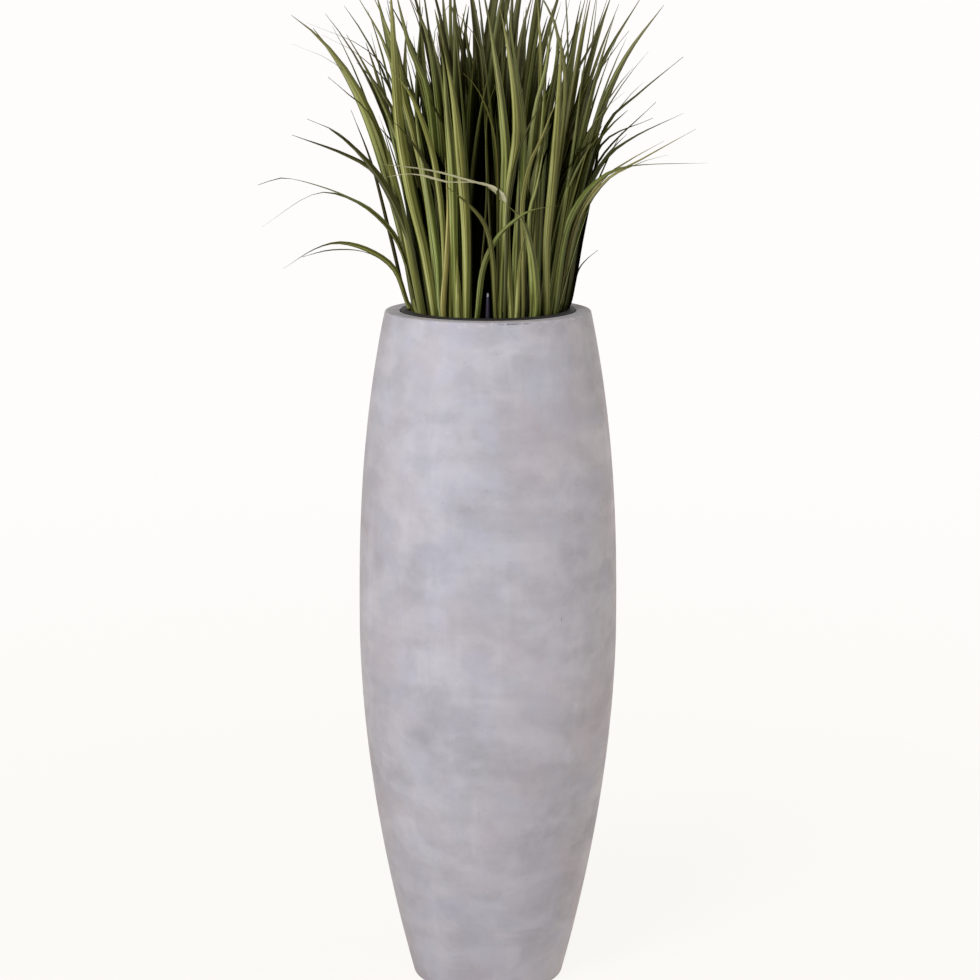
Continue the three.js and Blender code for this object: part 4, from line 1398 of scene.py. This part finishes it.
def inner_blade(dice, azimuth, index, grass):
    """A dark upright blade of an inner bunch, its darkness partly its own colour and partly
    painted shade.
    """
    radius, root = crown_place(
        INNER_RING, INNER_CROWN - 0.004, azimuth, index, grass.inner_blades)
    return {
        "radius": radius, "azimuth": root, "swing": dice.gauss(0, 1.2),
        "lean": 1 + 7 * min(1.0, radius / 0.05) * dice.uniform(0.4, 1.0),
        "bend": dice.uniform(4, 30), "stiffness": dice.uniform(1.4, 2.6),
        "length": grass.inner_length * (0.64 + 0.36 * dice.random() ** 2.4),
        "width": grass.blade_width * dice.uniform(0.5, 0.95), "peak": dice.uniform(0.45, 0.65),
        "tint": held(dice.gauss(0.25, 0.2)), "shade": dice.uniform(0.7, 1.0),
        "facing": root, "twist": dice.gauss(0, 0.6), "curl": dice.gauss(0, 0.8),
    }


def root_of(blade):
    """Place of a grown blade's root, seen from above."""
    return (blade["radius"] * math.cos(blade["azimuth"]),
            blade["radius"] * math.sin(blade["azimuth"]))


def behind_drawn(blade):
    """Whether a blade's root is out of the front strip, which is kept for drawn blades."""
    return root_of(blade)[1] > -FRONT_LIMIT


def painted_front_shade(blade):
    """Extra painted shade in the dark cleft at the front, and a little behind the drawn blades."""
    x, y = root_of(blade)
    if y < 0.01 and CLEFT[0] < x < CLEFT[1]:
        return 0.6
    return 0.5 if y < -0.045 else 0.0


def bunch_plug(name, radius, place, material):
    """The moulded crown that a bunch's blades grow from, with its stem."""
    plug = turned(name, [
        (0.0, STEM_FOOT), (0.001, STEM_FOOT, 0.0003), (STEM_RADIUS, STEM_FOOT + 0.008, 0.002),
        (STEM_RADIUS, CROWN_UNDERSIDE, 0.0015), (radius, CROWN_UNDERSIDE, 0.001),
        (radius, CROWN_TOP - 0.004, 0.002), (radius * 0.8, CROWN_TOP, 0.003),
        (0.0, CROWN_TOP),
    ], 40, material)
    plug.data.transform(Matrix.Translation((place[0], place[1], 0.0)))
    return plug


def joined(target, others):
    """Joins other objects to the target, which keeps its name."""
    with bpy.context.temp_override(
            active_object=target, object=target,
            selected_objects=[target, *others], selected_editable_objects=[target, *others]):
        bpy.ops.object.join()
    return target


def build_bunch(name, node, radius, ring, azimuth, blades, materials):
    """One bunch: its blades swept along their ribs, joined to their crown and stem."""
    for blade in blades:
        if "points" not in blade:
            blade["points"] = held_back(grown_rib(blade, GROWN_STEPS))
        kept_inside(blade["points"])
    piece = made(name, ribs_mesh(name, blades), tree_named("Grass blades", blades_tree), {
        "Material": materials[0]})
    place = (ring * math.cos(azimuth), ring * math.sin(azimuth))
    plug = bunch_plug(name + "_plug", radius, place, materials[1])
    joined(piece, [plug])
    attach(piece, "bush")
    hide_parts(node)


def build_grass(grass):
    """All bunches. The drawn blades join the outer bunch that they stand nearest to."""
    dice = random.Random(grass.seed)
    materials = (grass_material(), crown_material())
    drawn = [drawn_blade(blade) for blade in DRAWN_BLADES.values()]
    for index in range(OUTER_BUNCHES):
        azimuth = bunch_azimuth(index)
        blades = [outer_blade(dice, azimuth, i, grass) for i in range(grass.outer_blades)]
        blades = [blade for blade in blades if behind_drawn(blade)]
        for blade in blades:
            blade["shade"] += painted_front_shade(blade)
        if math.sin(azimuth) > BACK_SINE:
            blades += [arching_blade(dice, azimuth, grass) for _ in range(ARCHING_BLADES)]
        blades += [blade for place, blade in drawn if place == index]
        build_bunch(f"outer_tuft_{index + 1}", f"outer_grass_bunch_{index + 1}",
                    OUTER_CROWN, OUTER_RING, azimuth, blades, materials)
    for index in range(INNER_BUNCHES):
        azimuth = math.radians(FIRST_INNER_TURN + INNER_TURN * index)
        blades = [inner_blade(dice, azimuth, i, grass) for i in range(grass.inner_blades)]
        for blade in blades:
            blade["shade"] += painted_front_shade(blade)
        build_bunch(f"inner_tuft_{index + 1}", f"inner_grass_bunch_{index + 1}",
                    INNER_CROWN, INNER_RING, azimuth, blades, materials)


# ---- stage --------------------------------------------------------------------------------


FLOOR_RADIUS = 20
FLOOR_SIDES = 64


def seen_directly(tree):
    """1 for rays from the camera, a mirror or glass, 0 for light on the object."""
    path = add_node(tree, "ShaderNodeLightPath").outputs
    seen = calculate(tree, "MAXIMUM", path["Is Camera Ray"], path["Is Glossy Ray"])
    return calculate(tree, "MAXIMUM", seen, path["Is Transmission Ray"])


def floor_material():
    """Pale floor that shows white where it is lit, and keeps the shadow of the planter."""
    material = bpy.data.materials.new("pale_floor")
    material.use_nodes = True
    tree = material.node_tree
    tree.nodes.clear()
    place = add_node(tree, "ShaderNodeTexCoord").outputs["Object"]
    distance = add_node(tree, "ShaderNodeVectorMath", {0: place}, operation="LENGTH").outputs[1]
    near = between(tree, distance, 0.35, 1.5, 1.0, 0.0)
    white = mixed(tree, between(tree, distance, 0.2, 5.0), srgb(252, 250, 246),
                  srgb(255, 253, 252))
    plain = add_node(tree, "ShaderNodeBsdfDiffuse", {"Color": (0.78, 0.73, 0.69, 1.0)})
    shadowed = add_node(tree, "ShaderNodeBsdfDiffuse", {"Color": (0.1, 0.1, 0.1, 1.0)})
    glow = add_node(tree, "ShaderNodeEmission", {"Color": white, "Strength": 1.0})
    part = add_node(tree, "ShaderNodeEmission", {"Color": white, "Strength": 0.925})
    caught = add_node(tree, "ShaderNodeAddShader", {
        0: shadowed.outputs[0], 1: part.outputs[0]})
    shown = add_node(tree, "ShaderNodeMixShader", {
        0: near, 1: glow.outputs[0], 2: caught.outputs[0]})
    both = add_node(tree, "ShaderNodeMixShader", {
        0: seen_directly(tree), 1: plain.outputs[0], 2: shown.outputs[0]})
    add_node(tree, "ShaderNodeOutputMaterial", {"Surface": both.outputs[0]})
    return material


def build_floor():
    mesh = bpy.data.meshes.new("pale_floor")
    angles = [2 * math.pi * index / FLOOR_SIDES for index in range(FLOOR_SIDES)]
    corners = [(FLOOR_RADIUS * math.cos(angle), FLOOR_RADIUS * math.sin(angle), 0.0)
               for angle in angles]
    mesh.from_pydata(corners, [], [tuple(range(FLOOR_SIDES))])
    floor = bpy.data.objects.new("pale_floor", mesh)
    mesh.materials.append(floor_material())
    bpy.context.scene.collection.objects.link(floor)


def add_softbox(name, place, target, size, power, colour):
    light = bpy.data.lights.new(name, "AREA")
    light.shape = "RECTANGLE"
    light.size, light.size_y = size
    light.energy = power
    light.color = colour
    lamp = bpy.data.objects.new(name, light)
    lamp.location = place
    lamp.rotation_euler = (Vector(target) - Vector(place)).to_track_quat("-Z", "Y").to_euler()
    bpy.context.scene.collection.objects.link(lamp)


def build_world(strength):
    world = bpy.data.worlds.new("studio")
    world.use_nodes = True
    tree = world.node_tree
    tree.nodes.clear()
    shown = add_node(tree, "ShaderNodeBackground", {
        "Color": (*srgb(255, 253, 252), 1.0), "Strength": 1.0})
    lit = add_node(tree, "ShaderNodeBackground", {
        "Color": (1.0, 0.975, 0.94, 1.0), "Strength": strength})
    both = add_node(tree, "ShaderNodeMixShader", {
        0: seen_directly(tree), 1: lit.outputs[0], 2: shown.outputs[0]})
    add_node(tree, "ShaderNodeOutputWorld", {"Surface": both.outputs[0]})
    bpy.context.scene.world = world


def build_stage(stage):
    build_floor()
    add_softbox("key_light", (-1.58, -2.6, 2.4), (0.0, 0.0, 0.8), (1.6, 2.2),
                stage.key_power, (0.955, 0.975, 1.0))
    add_softbox("fill_light", (2.6, -0.3, 1.2), (0.0, 0.0, 0.6), (1.4, 2.0),
                stage.fill_power, (1.0, 0.955, 0.885))
    build_world(stage.ambient)
    camera = bpy.data.cameras.new("camera")
    camera.lens = CAMERA_LENS
    camera.sensor_width = SENSOR_WIDTH
    camera.clip_end = 100.0
    viewer = bpy.data.objects.new("camera", camera)
    viewer.location = CAMERA_PLACE
    viewer.rotation_euler = (math.pi / 2 - CAMERA_PITCH, 0.0, 0.0)
    bpy.context.scene.collection.objects.link(viewer)
    bpy.context.scene.camera = viewer
    bpy.context.scene.view_settings.view_transform = "Standard"


# ---- operators, panel and registration ----------------------------------------------------


class PLANTER_OT_shell(Operator):
    """Builds the barrel-shaped shell in its stone-grey finish"""
    bl_idname = "planter.shell"
    bl_label = "Shell"

    def execute(self, context):
        build_shell(context.scene.planter_shell)
        return {"FINISHED"}


class PLANTER_OT_base(Operator):
    """Builds the bottom panel and the bung in its drain hole"""
    bl_idname = "planter.base"
    bl_label = "Bottom panel and bung"

    def execute(self, context):
        build_base()
        return {"FINISHED"}


class PLANTER_OT_insert(Operator):
    """Builds the plastic insert that hangs in the mouth"""
    bl_idname = "planter.insert"
    bl_label = "Insert"

    def execute(self, context):
        build_insert(context.scene.planter_shell, context.scene.planter_insert)
        return {"FINISHED"}


class PLANTER_OT_filling(Operator):
    """Builds the foam, the bark on it and the stake"""
    bl_idname = "planter.filling"
    bl_label = "Foam, bark and stake"

    def execute(self, context):
        build_filling()
        return {"FINISHED"}


class PLANTER_OT_grass(Operator):
    """Builds the bunches of artificial grass"""
    bl_idname = "planter.grass"
    bl_label = "Grass"

    def execute(self, context):
        build_grass(context.scene.planter_grass)
        return {"FINISHED"}


class PLANTER_OT_stage(Operator):
    """Builds the floor, the lights, the world and the camera"""
    bl_idname = "planter.stage"
    bl_label = "Stage"

    def execute(self, context):
        build_stage(context.scene.planter_stage)
        return {"FINISHED"}


OPERATORS = (PLANTER_OT_shell, PLANTER_OT_base, PLANTER_OT_insert, PLANTER_OT_filling,
             PLANTER_OT_grass, PLANTER_OT_stage)
SETTINGS = {
    "planter_shell": PlanterShellSettings,
    "planter_insert": PlanterInsertSettings,
    "planter_grass": PlanterGrassSettings,
    "planter_stage": PlanterStageSettings,
}


class PLANTER_PT_build(Panel):
    """Sizes, colours and build steps of the planter"""
    bl_idname = "PLANTER_PT_build"
    bl_label = "Tall Barrel Planter"
    bl_space_type = "VIEW_3D"
    bl_region_type = "UI"
    bl_category = "Planter"

    def draw(self, context):
        for name, settings in SETTINGS.items():
            box = self.layout.box()
            for key in settings.__annotations__:
                box.prop(getattr(context.scene, name), key)
        for operator in OPERATORS:
            self.layout.operator(operator.bl_idname)


def register():
    for item in (*SETTINGS.values(), *OPERATORS, PLANTER_PT_build):
        bpy.utils.register_class(item)
    for name, settings in SETTINGS.items():
        setattr(bpy.types.Scene, name, PointerProperty(type=settings))


def unregister():
    for name in SETTINGS:
        delattr(bpy.types.Scene, name)
    for item in reversed((*SETTINGS.values(), *OPERATORS, PLANTER_PT_build)):
        bpy.utils.unregister_class(item)


def main():
    register()
    bpy.ops.planter.shell()
    bpy.ops.planter.base()
    bpy.ops.planter.insert()
    bpy.ops.planter.filling()
    bpy.ops.planter.grass()
    bpy.ops.planter.stage()


if __name__ == "__main__":
    main()
